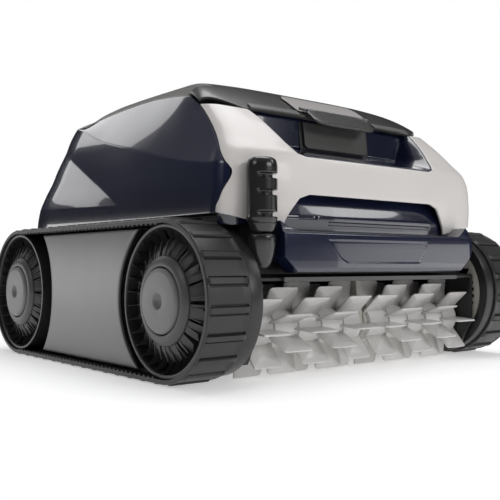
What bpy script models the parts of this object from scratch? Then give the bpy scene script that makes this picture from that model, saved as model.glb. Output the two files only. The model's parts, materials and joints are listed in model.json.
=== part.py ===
"""Tracked robotic pool cleaner, front towards -Y, +Z up, metres.

The origin lies on the ground midway between the four wheels. The two tracks, the gear train that
drives them and the front brushes, the shell, the lid and the filter are all separate solids.
"""
import bmesh
import bpy
import numpy as np
from math import asin, cos, pi, radians, sin
from mathutils import Matrix, Vector

mm = 0.001

# Overall sizes
TRACK_SPAN = 450 * mm        # over the outer faces of the two belts
WHEELBASE = 326 * mm         # front axle to rear axle
HEIGHT = 305 * mm            # ground to the top of the lid

# Tracks
RIM_R = 69 * mm
BELT_W = 46 * mm
BELT_T = 3.1 * mm
LUG_H = 2.4 * mm
LUG_COUNT = 46
LUG_FOOT = 6.6 * mm
LUG_TIP = 4.6 * mm
FLANGE_W = 14 * mm
FLANGE_RISE = 2.3 * mm
AXLE_R = 8 * mm
HUB_RING_R = 40.8 * mm
HUB_CAP_R = 29.6 * mm
HUB_CAP_OUT = 3 * mm         # how far a hub cap stands out past the belt
PLATE_T = 30 * mm            # side plate between the wheels
PLATE_GAP = 17 * mm          # from the rim to the plate's hollow end
PEG_IN = 32 * mm             # the plate's pegs inside its hollow ends

# Gear train, module in metres
MODULE = 2.5 * mm
RING_IN = 19 * mm            # the ring's pitch circle inside the rim
BRUSH_TEETH = 13
MOTOR_TEETH = 10
GEAR_W = 12 * mm
BACKLASH = 0.45 * mm
MOTOR_GAP = 3.9 * mm         # from the motor to the brush tunnel's roof
MOTOR_ANGLE = radians(50)    # from the axle to the motor, 0 = rearwards

# Brushes
BRUSH_R = 44.5 * mm
BRUSH_LIFT = 1.45 * mm       # the paddles' tips over the ground
BRUSH_CORE_R = 20.5 * mm
BRUSH_GAP = 8 * mm           # between the two halves, for the middle bearing
PADDLES = 8
PADDLE_COLUMNS = 5
PADDLE_T = 2.6 * mm

# Shell
DECK_OVER_BELT = 8 * mm
DECK_OVER_BRUSH = 65.55 * mm
SHELL_T = 3 * mm
SKIRT = 147 * mm             # the shell's levels below the deck are shares of this
BODY_IN = 39 * mm            # body side inside the belt's outer face, at deck level
TRAY_T = 3 * mm
CHEEK_T = 4.5 * mm
LID_IN = 59.6 * mm           # lid side inside the body side
LID_EDGE = 0.6993            # the lid's lower edge, as a share of deck to top
LID_HINGE_IN = 43 * mm       # hinge ahead of the rear axle
HINGE_R = 6.2 * mm
PIN_R = 2.2 * mm
GRIP_HALF = 47 * mm
BUMPER_IN = 40 * mm          # bumper's end inside the body side
BOOT_IN = 12.4 * mm          # cable boot's middle inside the wheel's flange
BOOT_R = 13.5 * mm

# Clearances
FIT = 0.4 * mm               # resting faces
RUN = 0.6 * mm               # moving past each other
SEAM = 0.7 * mm              # between shell panels

HALF = TRACK_SPAN / 2
BELT_IN_R = RIM_R + 0.5 * mm
BELT_R = BELT_IN_R + BELT_T
AXLE_Z = BELT_R + LUG_H
FRONT = -WHEELBASE / 2
REAR = WHEELBASE / 2
BELT_INNER = HALF - BELT_W
FLANGE_IN = BELT_INNER - RUN - FLANGE_W
CHEEK_OUT = FLANGE_IN - 3 * mm
CHEEK_IN = CHEEK_OUT - CHEEK_T
RING_TEETH = round((RIM_R - RING_IN) / (MODULE / 2))
RING_R = MODULE * RING_TEETH / 2
BRUSH_PR = MODULE * BRUSH_TEETH / 2
MOTOR_PR = MODULE * MOTOR_TEETH / 2
BRUSH_Z = BRUSH_R + BRUSH_LIFT
BRUSH_ANGLE = asin((AXLE_Z - BRUSH_Z) / (RING_R - BRUSH_PR)) - pi   # from the axle to the brush
BRUSH_Y = FRONT + (RING_R - BRUSH_PR) * cos(BRUSH_ANGLE)
MOTOR_Y = FRONT + (RING_R - MOTOR_PR) * cos(MOTOR_ANGLE)
MOTOR_Z = AXLE_Z + (RING_R - MOTOR_PR) * sin(MOTOR_ANGLE)
GEAR_OUT = BELT_INNER - 1 * mm
GEAR_IN = GEAR_OUT - GEAR_W
TUNNEL_R = BRUSH_R + 2 * mm
TUNNEL_TOP = BRUSH_Z + TUNNEL_R
DECK_Z = max(2 * AXLE_Z + DECK_OVER_BELT, TUNNEL_TOP + DECK_OVER_BRUSH)
BODY_HALF = HALF - BODY_IN
LID_HALF = BODY_HALF - LID_IN
LID_EDGE_Z = DECK_Z + LID_EDGE * (HEIGHT - DECK_Z)
LID_HINGE_Y = REAR - LID_HINGE_IN
BUMPER_HALF = BODY_HALF - BUMPER_IN
BRUSH_END = CHEEK_IN - 1 * mm

for old in list(bpy.data.objects):
    bpy.data.objects.remove(old, do_unlink=True)
parts = bpy.data.collections.new("pool_cleaner")
cutters = bpy.data.collections.new("cutters")
for group in (parts, cutters):
    bpy.context.scene.collection.children.link(group)

# Local axes onto the object's: an outline drawn in (Y, Z) and pulled along X, and so on
ALONG_X = Matrix(((0, 0, 1, 0), (1, 0, 0, 0), (0, 1, 0, 0), (0, 0, 0, 1)))
ALONG_Y = Matrix(((1, 0, 0, 0), (0, 0, -1, 0), (0, 1, 0, 0), (0, 0, 0, 1)))
ALONG_Z = Matrix.Identity(4)


def material(name, colour, roughness, metallic=0.0):
    found = bpy.data.materials.get(name)
    if found:
        return found
    made = bpy.data.materials.new(name)
    made.use_nodes = True
    shader = made.node_tree.nodes["Principled BSDF"]
    shader.inputs["Base Color"].default_value = (*colour, 1)
    shader.inputs["Roughness"].default_value = roughness
    shader.inputs["Metallic"].default_value = metallic
    return made


LOOKS = {
    "navy": ((0.012, 0.017, 0.036), 0.16),
    "pearl": ((0.68, 0.65, 0.63), 0.22),
    "taupe": ((0.24, 0.235, 0.225), 0.35),
    "smoke": ((0.035, 0.034, 0.032), 0.12),
    "light": ((0.5, 0.49, 0.475), 0.38),
    "black": ((0.018, 0.018, 0.018), 0.45),
    "gloss_black": ((0.02, 0.02, 0.02), 0.18),
    "belt": ((0.055, 0.055, 0.055), 0.62),
    "wheel": ((0.04, 0.04, 0.04), 0.5),
    "cap": ((0.2, 0.2, 0.2), 0.45),
    "plate": ((0.2, 0.2, 0.2), 0.42),
    "paddle": ((0.74, 0.71, 0.69), 0.4),
    "gear": ((0.45, 0.43, 0.38), 0.5),
    "motor": ((0.1, 0.1, 0.11), 0.4),
    "mesh": ((0.3, 0.32, 0.33), 0.6),
    "board": ((0.02, 0.09, 0.05), 0.5),
}


def finish(mesh):
    """Welds the seams and turns every face outwards."""
    work = bmesh.new()
    work.from_mesh(mesh)
    bmesh.ops.remove_doubles(work, verts=work.verts, dist=1e-6)
    bmesh.ops.recalc_face_normals(work, faces=work.faces)
    work.to_mesh(mesh)
    work.free()
    return mesh


def place(name, mesh, group, look=None):
    made = bpy.data.objects.new(name, mesh)
    group.objects.link(made)
    if look:
        mesh.materials.clear()
        mesh.materials.append(material(f"{look}_finish", *LOOKS[look]))
    if group is cutters:
        made.hide_render = True
        made.display_type = "WIRE"
    return made


def evaluated(obj):
    depsgraph = bpy.context.evaluated_depsgraph_get()
    return bpy.data.meshes.new_from_object(obj.evaluated_get(depsgraph))


def flat(loops, low, high, turn=ALONG_X):
    """A flat outline, with its holes, as a solid from low to high along the pulled axis."""
    curve = bpy.data.curves.new("outline", "CURVE")
    curve.dimensions = "2D"
    curve.fill_mode = "BOTH"
    curve.extrude = (high - low) / 2
    for loop in loops:
        spline = curve.splines.new("POLY")
        spline.points.add(len(loop) - 1)
        for point, (u, v) in zip(spline.points, loop):
            point.co = (u, v, 0, 1)
        spline.use_cyclic_u = True
    temporary = bpy.data.objects.new("outline", curve)
    cutters.objects.link(temporary)
    mesh = evaluated(temporary)
    bpy.data.objects.remove(temporary, do_unlink=True)
    bpy.data.curves.remove(curve)
    mesh.transform(Matrix.Translation((0, 0, (high + low) / 2)))
    mesh.transform(turn)
    return finish(mesh)


def turned(profile, steps, turn=ALONG_Z, at=(0, 0, 0)):
    """A profile of (radius, height) pairs turned about the pulled axis through at."""
    mesh = bpy.data.meshes.new("profile")
    edges = [(i, i + 1) for i in range(len(profile) - 1)]
    if profile[0][0] > 0 or profile[-1][0] > 0:
        edges.append((len(profile) - 1, 0))
    mesh.from_pydata([(r, 0, h) for r, h in profile], edges, [])
    temporary = bpy.data.objects.new("profile", mesh)
    cutters.objects.link(temporary)
    screw = temporary.modifiers.new("turn", "SCREW")
    screw.axis = "Z"
    screw.steps = steps
    screw.render_steps = steps
    screw.use_merge_vertices = True
    screw.merge_threshold = 0.00001
    solid = evaluated(temporary)
    bpy.data.objects.remove(temporary, do_unlink=True)
    bpy.data.meshes.remove(mesh)
    solid.transform(turn)
    solid.transform(Matrix.Translation(at))
    return finish(solid)


def box(low, high):
    mesh = bpy.data.meshes.new("box")
    work = bmesh.new()
    bmesh.ops.create_cube(work, size=1)
    size = Vector(high) - Vector(low)
    middle = (Vector(high) + Vector(low)) / 2
    bmesh.ops.scale(work, vec=size, verts=work.verts)
    bmesh.ops.translate(work, vec=middle, verts=work.verts)
    work.to_mesh(mesh)
    work.free()
    return mesh


def rod(radius, low, high, at, turn=ALONG_X, sides=24):
    """A round bar from low to high along the pulled axis, through the point at."""
    mesh = bpy.data.meshes.new("rod")
    work = bmesh.new()
    bmesh.ops.create_cone(work, cap_ends=True, segments=sides, radius1=radius, radius2=radius,
                          depth=high - low)
    bmesh.ops.translate(work, vec=(0, 0, (high + low) / 2), verts=work.verts)
    work.to_mesh(mesh)
    work.free()
    mesh.transform(turn)
    mesh.transform(Matrix.Translation(at))
    return mesh


def merged(*meshes):
    """Several separate solids held in one mesh, for a cutter or a joined set."""
    work = bmesh.new()
    for mesh in meshes:
        work.from_mesh(mesh)
    total = bpy.data.meshes.new("set")
    work.to_mesh(total)
    work.free()
    return total


def boolean(obj, mesh, operation):
    tool = place(f"{obj.name}_{operation.lower()}_{len(obj.modifiers)}", mesh, cutters)
    change = obj.modifiers.new(operation.lower(), "BOOLEAN")
    change.operation = operation
    change.solver = "EXACT"
    change.object = tool


def part(name, mesh, look, cut=(), join=(), keep=()):
    """One named piece: its stock, what it keeps of it, what is joined and what is cut away."""
    made = place(name, mesh, parts, look)
    for operation, tools in (("INTERSECT", keep), ("UNION", join), ("DIFFERENCE", cut)):
        for tool in tools:
            boolean(made, tool, operation)
    return made


def settle(obj):
    """Keeps a piece's evaluated solid as its own mesh, so that a mirrored twin can follow it."""
    mesh = evaluated(obj)
    obj.modifiers.clear()
    obj.data = mesh
    return obj


def pivot(obj, point):
    """Puts a moving piece's origin on its joint's axis."""
    obj.data.transform(Matrix.Translation(-Vector(point)))
    obj.location = point
    return obj


def twin(obj, name):
    """The right-hand copy of a left-hand piece."""
    mesh = evaluated(obj)
    mesh.transform(obj.matrix_world)
    mesh.transform(Matrix.Scale(-1, 4, (1, 0, 0)))
    work = bmesh.new()
    work.from_mesh(mesh)
    bmesh.ops.reverse_faces(work, faces=work.faces)
    work.to_mesh(mesh)
    work.free()
    made = place(name, mesh, parts)
    place_at = Vector(obj.location)
    if place_at.length > 0:
        pivot(made, (-place_at.x, place_at.y, place_at.z))
    return made


def arc(centre, radius, first, last, count):
    """Points on an arc in the outline's plane, from one angle to another."""
    angles = np.linspace(first, last, count)
    return [(centre[0] + radius * cos(a), centre[1] + radius * sin(a)) for a in angles]


# ---------------------------------------------------------------- tracks
def track_point(along, radius):
    """A point on the stadium round both wheels, at a length along the belt's outer surface."""
    turn = pi * BELT_R
    whole = 2 * (WHEELBASE + turn)
    along = along % whole
    if along < WHEELBASE:
        return FRONT + along, AXLE_Z - radius
    along -= WHEELBASE
    if along < turn:
        a = -pi / 2 + along / BELT_R
        return REAR + radius * cos(a), AXLE_Z + radius * sin(a)
    along -= turn
    if along < WHEELBASE:
        return REAR - along, AXLE_Z + radius
    a = pi / 2 + (along - WHEELBASE) / BELT_R
    return FRONT + radius * cos(a), AXLE_Z + radius * sin(a)


def belt_outline():
    whole = 2 * (WHEELBASE + pi * BELT_R)
    pitch = whole / LUG_COUNT
    outer = []
    for i in range(LUG_COUNT):
        middle = (i + 0.5) * pitch
        outer.append(track_point(middle - LUG_FOOT / 2, BELT_R))
        outer.append(track_point(middle - LUG_TIP / 2, BELT_R + LUG_H))
        outer.append(track_point(middle + LUG_TIP / 2, BELT_R + LUG_H))
        outer.append(track_point(middle + LUG_FOOT / 2, BELT_R))
        between = track_point(middle + pitch / 2, BELT_R)
        if not FRONT < between[0] < REAR:
            outer.append(between)
    inner = arc((REAR, AXLE_Z), BELT_IN_R, -pi / 2, pi / 2, 25)
    inner += arc((FRONT, AXLE_Z), BELT_IN_R, pi / 2, 3 * pi / 2, 25)
    return [outer, inner]


WHEEL_FACE = HALF - 3 * mm
hub_bore = AXLE_R + FIT
wheel_back = GEAR_OUT + 0.6 * mm
ring_seat = RING_R + 11.4 * mm
wheel_profile = [
    (RIM_R, WHEEL_FACE), (RIM_R - 3.6 * mm, WHEEL_FACE), (RIM_R - 4.6 * mm, HALF - 13 * mm),
    (HUB_RING_R + 9 * mm, HALF - 13 * mm), (HUB_RING_R + 1.5 * mm, HALF - 5 * mm),
    (HUB_RING_R - 2 * mm, HALF), (HUB_CAP_R + 2 * FIT, HALF), (HUB_CAP_R + 2 * FIT, HALF - 4 * mm),
    (hub_bore, HALF - 4 * mm), (hub_bore, wheel_back), (ring_seat, wheel_back),
    (ring_seat, FLANGE_IN), (RIM_R + FLANGE_RISE, FLANGE_IN),
    (RIM_R + FLANGE_RISE, BELT_INNER - RUN), (RIM_R, BELT_INNER - RUN),
]


def left(mesh):
    """Mirrors a piece drawn on the +X side across to the left."""
    mesh.transform(Matrix.Scale(-1, 4, (1, 0, 0)))
    return finish(mesh)


cap_profile = [
    (0, HALF + HUB_CAP_OUT - 2 * mm), (8 * mm, HALF + HUB_CAP_OUT - 1.4 * mm),
    (12 * mm, HALF + HUB_CAP_OUT), (HUB_CAP_R - 2 * mm, HALF + HUB_CAP_OUT - 0.5 * mm),
    (HUB_CAP_R, HALF + HUB_CAP_OUT - 2.2 * mm), (HUB_CAP_R, HALF - 4 * mm + FIT),
    (0, HALF - 4 * mm + FIT),
]
axle_profile = [
    (0, HALF - 4.6 * mm), (AXLE_R, HALF - 4.6 * mm), (AXLE_R, CHEEK_OUT + 2.4 * mm),
    (AXLE_R + 5 * mm, CHEEK_OUT + 2.4 * mm), (AXLE_R + 5 * mm, CHEEK_OUT + FIT),
    (AXLE_R, CHEEK_OUT + FIT), (AXLE_R, CHEEK_IN + FIT), (0, CHEEK_IN + FIT),
]
for end, y in (("front", FRONT), ("rear", REAR)):
    hub = (0, y, AXLE_Z)
    wheel = part(f"wheel_{end}_left", left(turned(wheel_profile, 26, ALONG_X, hub)), "wheel")
    cap = part(f"hub_cap_{end}_left", left(turned(cap_profile, 20, ALONG_X, hub)), "cap")
    axle = part(f"axle_{end}_left", left(turned(axle_profile, 14, ALONG_X, hub)), "motor")
    for piece in (wheel, cap, axle):
        pivot(piece, (-HALF, y, AXLE_Z))
        twin(piece, piece.name.replace("left", "right"))

belt = part("track_belt_left", left(flat(belt_outline(), BELT_INNER, HALF)), "belt")
twin(belt, "track_belt_right")

plate_low = LUG_H + BELT_T + 3.4 * mm
plate_high = 2 * AXLE_Z - plate_low
hollow = RIM_R + PLATE_GAP
lean = asin((plate_high - AXLE_Z) / hollow)
plate_outline = arc((FRONT, AXLE_Z), hollow, -lean, lean, 17)
plate_outline += arc((REAR, AXLE_Z), hollow, pi - lean, pi + lean, 17)
plate_out = HALF - 6 * mm
pegs = [rod(9 * mm, CHEEK_OUT + FIT, plate_out - PLATE_T + 3 * mm, (0, y, AXLE_Z), ALONG_X, 16)
        for y in (hollow - REAR + PEG_IN, REAR - hollow - PEG_IN)]
plate = part("side_plate_left", left(flat([plate_outline], plate_out - PLATE_T, plate_out)),
             "plate", join=[left(peg) for peg in pegs])
settle(plate)
twin(plate, "side_plate_right")


# ---------------------------------------------------------------- gears
def tooth_ring(teeth, inside, turned_by):
    """A gear outline with straight flanks at 20 degrees, four points a tooth."""
    pitch_r = MODULE * teeth / 2
    tip = pitch_r - 0.8 * MODULE if inside else pitch_r + 0.85 * MODULE
    foot = pitch_r + 1.1 * MODULE if inside else pitch_r - 1.15 * MODULE
    half_pitch = pi * MODULE / 4 - BACKLASH / 2
    slope = 0.364
    points = []
    for i in range(teeth):
        middle = turned_by + 2 * pi * i / teeth
        foot_half = (half_pitch + slope * abs(pitch_r - foot) * (1 if inside else 0.55)) / foot
        tip_half = (half_pitch - slope * abs(pitch_r - tip) * 1.35) / tip
        for radius, shift in ((foot, -foot_half), (tip, -tip_half), (tip, tip_half),
                              (foot, foot_half)):
            points.append((radius * cos(middle + shift), radius * sin(middle + shift)))
    return points


def shifted(points, y, z):
    return [(u + y, v + z) for u, v in points]


def mesh_phase(teeth, angle):
    """Turns a pinion so that its tooth fills the ring's gap where they meet."""
    ring_pitch = 2 * pi / RING_TEETH
    gap = (angle / ring_pitch - 0.5) % 1.0
    return angle - gap * ring_pitch * RING_TEETH / teeth


ring_r_out = ring_seat - FIT - 0.6 * mm
ring_loops = [shifted(arc((0, 0), ring_r_out, 0, 2 * pi, 41)[:-1], FRONT, AXLE_Z),
              shifted(tooth_ring(RING_TEETH, True, 0), FRONT, AXLE_Z)]
ring = part("ring_gear_left", left(flat(ring_loops, GEAR_IN, GEAR_OUT)), "gear")
pivot(ring, (-HALF, FRONT, AXLE_Z))
twin(ring, "ring_gear_right")

shaft_r = 6 * mm
brush_teeth = shifted(tooth_ring(BRUSH_TEETH, False, mesh_phase(BRUSH_TEETH, BRUSH_ANGLE)),
                      BRUSH_Y, BRUSH_Z)
brush_shaft = rod(shaft_r, BRUSH_END - 11.4 * mm, GEAR_OUT - 1 * mm, (0, BRUSH_Y, BRUSH_Z))
gear = part("brush_gear_left", left(flat([brush_teeth], GEAR_IN, GEAR_OUT)), "gear",
            join=[left(brush_shaft)])
settle(gear)
pivot(gear, (-HALF, BRUSH_Y, BRUSH_Z))
twin(gear, "brush_gear_right")

motor_shaft_r = 4 * mm
roof_t = 2.6 * mm            # of the brush tunnel
motor_end = CHEEK_IN - 1.6 * mm
motor_teeth = shifted(tooth_ring(MOTOR_TEETH, False, mesh_phase(MOTOR_TEETH, MOTOR_ANGLE)),
                      MOTOR_Y, MOTOR_Z)
motor_shaft = rod(motor_shaft_r, motor_end + RUN, GEAR_OUT - 1 * mm, (0, MOTOR_Y, MOTOR_Z))
pinion = part("motor_pinion_left", left(flat([motor_teeth], GEAR_IN, GEAR_OUT)), "gear",
              join=[left(motor_shaft)])
settle(pinion)
pivot(pinion, (-HALF, MOTOR_Y, MOTOR_Z))
twin(pinion, "motor_pinion_right")

spacing = Vector((MOTOR_Y - BRUSH_Y, MOTOR_Z - BRUSH_Z)).length
motor_r = spacing - TUNNEL_R - roof_t - MOTOR_GAP
motor_profile = [
    (0, motor_end), (motor_r / 2, motor_end), (motor_r / 2, motor_end - 3 * mm),
    (motor_r, motor_end - 3 * mm), (motor_r, motor_end - 58 * mm),
    (motor_r * 2 / 3, motor_end - 62 * mm), (0, motor_end - 62 * mm),
]
motor = part("drive_motor_left",
             left(turned(motor_profile, 24, ALONG_X, (0, MOTOR_Y, MOTOR_Z))), "motor")
twin(motor, "drive_motor_right")


# ---------------------------------------------------------------- brushes
def star(offset):
    """Radial paddles round the core, as one outline."""
    points = []
    inner = BRUSH_CORE_R - 3 * mm
    for i in range(PADDLES):
        a = offset + 2 * pi * i / PADDLES
        side = Vector((-sin(a), cos(a))) * PADDLE_T / 2
        out = Vector((cos(a), sin(a)))
        for p in (out * inner - side, out * BRUSH_R - side, out * BRUSH_R + side, out * inner + side):
            points.append((p.x + BRUSH_Y, p.y + BRUSH_Z))
    return points


brush_in = BRUSH_GAP / 2
column = (BRUSH_END - brush_in) / PADDLE_COLUMNS
stars = []
for i in range(PADDLE_COLUMNS):
    start = brush_in + i * column + (0.8 * mm if i else 1.5 * mm)
    stop = brush_in + (i + 1) * column - (0.8 * mm if i < PADDLE_COLUMNS - 1 else 1.5 * mm)
    stars.append(flat([star((i % 2) * pi / PADDLES)], start, stop))
core = rod(BRUSH_CORE_R, brush_in, BRUSH_END, (0, BRUSH_Y, BRUSH_Z), ALONG_X, 24)
bores = merged(rod(shaft_r + FIT, BRUSH_END - 12 * mm, BRUSH_END + 5 * mm,
                   (0, BRUSH_Y, BRUSH_Z), ALONG_X, 16),
               rod(5.5 * mm, brush_in - 5 * mm, brush_in + 11 * mm,
                   (0, BRUSH_Y, BRUSH_Z), ALONG_X, 16))
brush = part("brush_left", left(core), "paddle", join=[left(merged(*stars))], cut=[left(bores)])
settle(brush)
pivot(brush, (-brush_in, BRUSH_Y, BRUSH_Z))
twin(brush, "brush_right")

# ---------------------------------------------------------------- chassis
TRAY_TOP = DECK_Z - 3.8 * mm
TRAY_FRONT = FRONT - 35 * mm
TRAY_REAR = REAR + 45.5 * mm
FLOOR_Z = 28 * mm
CHEEK_FRONT = FRONT - 53.5 * mm


def tunnel_arc(radius, first, last, count):
    return arc((BRUSH_Y, BRUSH_Z), radius, radians(first), radians(last), count)


heel = tunnel_arc(TUNNEL_R + roof_t, -24, 90, 11)
side_outline = [
    (TRAY_FRONT, TRAY_TOP), (TRAY_FRONT, TUNNEL_TOP + 6 * mm), (CHEEK_FRONT, TUNNEL_TOP + roof_t),
    (CHEEK_FRONT, BRUSH_Z - 2 * mm), (CHEEK_FRONT + 14 * mm, 17 * mm), (BRUSH_Y + 8 * mm, 12 * mm),
    (heel[0][0] + 2 * mm, 20 * mm), (heel[0][0] + 12 * mm, FLOOR_Z), (TRAY_REAR - 14 * mm, FLOOR_Z),
    (TRAY_REAR, FLOOR_Z + 30 * mm), (TRAY_REAR, TRAY_TOP),
]
cavity = [(TRAY_FRONT + TRAY_T, TRAY_TOP + 9 * mm), (TRAY_FRONT + TRAY_T, TUNNEL_TOP + roof_t)]
cavity += heel[::-1]
cavity += [
    (heel[0][0] + 3 * mm, FLOOR_Z + TRAY_T), (TRAY_REAR - 14 * mm - TRAY_T, FLOOR_Z + TRAY_T),
    (TRAY_REAR - TRAY_T, FLOOR_Z + 30 * mm), (TRAY_REAR - TRAY_T, TRAY_TOP + 9 * mm),
]
tunnel = [(CHEEK_FRONT - 9 * mm, TUNNEL_TOP)] + tunnel_arc(TUNNEL_R, 90, -24, 11)
tunnel += [(heel[0][0] - 1 * mm, -5 * mm), (CHEEK_FRONT - 9 * mm, -5 * mm)]
holes = []
for y, z, r in ((FRONT, AXLE_Z, AXLE_R + 1.5 * FIT), (REAR, AXLE_Z, AXLE_R + 1.5 * FIT),
                (BRUSH_Y, BRUSH_Z, shaft_r + RUN), (MOTOR_Y, MOTOR_Z, motor_shaft_r + RUN)):
    holes.append(rod(r, -HALF, HALF, (0, y, z), ALONG_X, 14))
INLET_Y = -45 * mm
INLET_HALF = 60 * mm
INLET_LEN = 34 * mm
inlet_hole = box((-INLET_HALF, INLET_Y - INLET_LEN / 2, FLOOR_Z - 9 * mm),
                 (INLET_HALF, INLET_Y + INLET_LEN / 2, FLOOR_Z + 9 * mm))
tray = part("chassis_tray", flat([side_outline], -CHEEK_OUT, CHEEK_OUT), "black",
            cut=[flat([cavity], -CHEEK_IN, CHEEK_IN), flat([tunnel], -CHEEK_IN, CHEEK_IN),
                 *holes, inlet_hole])

bar_half = CHEEK_IN - 28.9 * mm
bar = part("front_bar", box((-bar_half, CHEEK_FRONT - 3 * mm, TUNNEL_TOP - 1 * mm),
                            (bar_half, CHEEK_FRONT - FIT, TUNNEL_TOP + roof_t + 0.6 * mm)), "plate")

hanger_half = BRUSH_GAP / 2 - RUN
hanger = [
    (BRUSH_Y - 9 * mm, TUNNEL_TOP - 2 * mm), (BRUSH_Y - 12 * mm, BRUSH_Z),
    *arc((BRUSH_Y, BRUSH_Z), 12 * mm, pi, 2 * pi, 9)[1:-1],
    (BRUSH_Y + 12 * mm, BRUSH_Z), (BRUSH_Y + 9 * mm, TUNNEL_TOP - 2 * mm),
]
bearing_pin = rod(5 * mm, -brush_in - 9.5 * mm, brush_in + 9.5 * mm, (0, BRUSH_Y, BRUSH_Z),
                  ALONG_X, 16)
bearing = part("brush_bearing", flat([hanger], -hanger_half, hanger_half), "gear",
               join=[bearing_pin])


# ---------------------------------------------------------------- shell
# Level plan sections, each: height as a share of deck to top, front edge behind the front axle,
# rear edge behind the rear axle, and how far the side has come in
LEVELS = (
    (-0.395, -48.5, 62.0, 4.0), (-0.14, -46.3, 68.5, 2.0), (-0.03, -47.8, 69.0, 0.0),
    (0.12, -50.0, 65.0, 2.0), (0.25, -49.5, 56.0, 5.6), (0.352, -47.0, 45.0, 8.2),
    (0.46, -34.0, 37.0, 11.0), (0.58, -17.5, 24.5, 15.0), (0.706, 4.0, 11.0, 20.0),
    (0.823, 27.0, -11.0, 29.0), (0.925, 56.0, -42.0, 45.0), (0.975, 82.0, -70.0, 66.0),
    (1.0, 122.0, -104.0, 98.0),
)


def high(share):
    return DECK_Z + share * (HEIGHT - DECK_Z if share > 0 else SKIRT)


def plan(level, grow):
    """One level section as a closed loop, pushed out by grow all round."""
    share, ahead, behind, narrow = level
    low = high(share)
    half = BODY_HALF - narrow * mm + grow
    front = FRONT + ahead * mm - grow
    rear = REAR + behind * mm + grow
    right = [
        (0, front), (0.3 * half, front), (0.56 * half, front + 1 * mm),
        (0.8 * half, front + 5 * mm), (0.93 * half, front + 9.5 * mm),
        (half - 2.5 * mm, front + 17 * mm), (half, front + 28 * mm),
        (half, (front + rear) / 2), (half - 1 * mm, rear - 74 * mm),
        (0.965 * half, rear - 38 * mm), (0.86 * half, rear - 14 * mm),
        (0.62 * half, rear - 3 * mm), (0.3 * half, rear), (0, rear),
    ]
    mirrored = [(-x, y) for x, y in right[-2:0:-1]]
    return [(x, y, low) for x, y in right + mirrored]


def body(grow):
    """The closed outer form of the body, lofted through its level sections."""
    rings = [plan(level, grow) for level in LEVELS]
    rings[-1] = [(x, y, z + grow) for x, y, z in rings[-1]]
    if grow < 0:
        rings[0] = [(x, y, z - 9 * mm) for x, y, z in rings[0]]
    count = len(rings[0])
    faces = []
    for level in range(len(rings) - 1):
        for i in range(count):
            a = level * count + i
            b = level * count + (i + 1) % count
            faces.append((a, b, b + count, a + count))
    faces.append(tuple(reversed(range(count))))
    faces.append(tuple(range((len(rings) - 1) * count, len(rings) * count)))
    mesh = bpy.data.meshes.new("body")
    mesh.from_pydata([p for ring_points in rings for p in ring_points], [], faces)
    work = bmesh.new()
    work.from_mesh(mesh)
    bmesh.ops.triangulate(work, faces=work.faces)
    work.to_mesh(mesh)
    work.free()
    return finish(mesh)


SIDE_HIGH = [
    (FRONT + 54 * mm, 0.806), (FRONT + 85 * mm, 0.833), (-20 * mm, 0.862), (40 * mm, 0.850),
    (REAR - 35 * mm, 0.786), (REAR - 12 * mm, 0.72), (REAR + 14 * mm, 0.56),
]
ARM_EDGE = [
    (FRONT - 28.5 * mm, -0.025), (FRONT - 32.0 * mm, 0.06), (FRONT - 38.5 * mm, 0.22),
    (FRONT - 24 * mm, 0.36), (FRONT - 8.5 * mm, 0.48), (FRONT + 17 * mm, 0.63),
    (FRONT + 40 * mm, 0.735),
]


def side_area(gap):
    """The side panel's outline in side view, pulled in by gap."""
    foot = high(-0.025) + min(gap, 0)
    edge = [(ARM_EDGE[0][0] + gap, foot)] + [(y + gap, high(share)) for y, share in ARM_EDGE[1:]]
    top = [(y, high(share) - gap) for y, share in SIDE_HIGH]
    return edge + top + [(REAR + 43 * mm - gap, high(0.26)), (REAR + 43 * mm - gap, foot)]


def lower(edge):
    return [(-x, z) for x, z in reversed(edge)]


# How far inside the body side, and the height as a share of deck to top
OPENING = [
    (94 * mm, 0.357), (87.5 * mm, 0.364), (83.5 * mm, 0.388), (74 * mm, 0.52),
    (63.4 * mm, 0.70), (50 * mm, 0.79), (38 * mm, 0.85), (34 * mm, 1.2),
]
WINDOW = [(65 * mm, -0.2), (67 * mm, -0.1), (81 * mm, 0.055), (87 * mm, 0.095),
          (96 * mm, 0.108)]


def opening_area(gap):
    """The hood's upper opening in front view, which the lid and the upper panel fill."""
    right = [(BODY_HALF - x - gap, high(share) + gap) for x, share in OPENING]
    return right + lower(right)


window_right = [(BODY_HALF - x, high(share)) for x, share in WINDOW]
window_area = window_right + lower(window_right)
FAR = HALF + 60 * mm
SIDE_REACH = LID_HALF - 8.4 * mm
BOOT_X = BOOT_IN - FLANGE_IN
BOOT_Y = FRONT - 56.5 * mm
boot_clear = rod(BOOT_R + 1.6 * mm, 0, HEIGHT, (BOOT_X, BOOT_Y, 0), ALONG_Z, 20)
front_reach = FRONT + 62 * mm
hood_low = [(BODY_HALF, -0.4), (68 * mm, -0.1), (46 * mm, -0.085), (4 * mm, 0.0)]
hood_under = [(BODY_HALF - x, high(share)) for x, share in hood_low]
hood_under = [(FAR, high(0.0)), (FAR, high(-0.9)), (-FAR, high(-0.9)), (-FAR, high(0.0))] + (
    lower(hood_under[1:]) + hood_under[1:])
hood_front = [(y - SEAM / 2, high(share)) for y, share in ARM_EDGE]
hood_front += [(FRONT + 53 * mm, high(0.806)), (FRONT + 56 * mm, high(0.825)),
               (FRONT + 56 * mm, HEIGHT + 9 * mm),
               (FRONT - 90 * mm, HEIGHT + 9 * mm), (FRONT - 90 * mm, high(-0.3)),
               (FRONT - 28.5 * mm, high(-0.3))]
hood = part("front_hood", body(0), "pearl",
            keep=[flat([hood_front], -FAR, FAR)],
            cut=[body(-SHELL_T), flat([hood_under], -FAR, FAR, ALONG_Y),
                 flat([opening_area(-SEAM / 2)], -FAR, FAR, ALONG_Y),
                 flat([window_area], -FAR, FAR, ALONG_Y), boot_clear])

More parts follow.
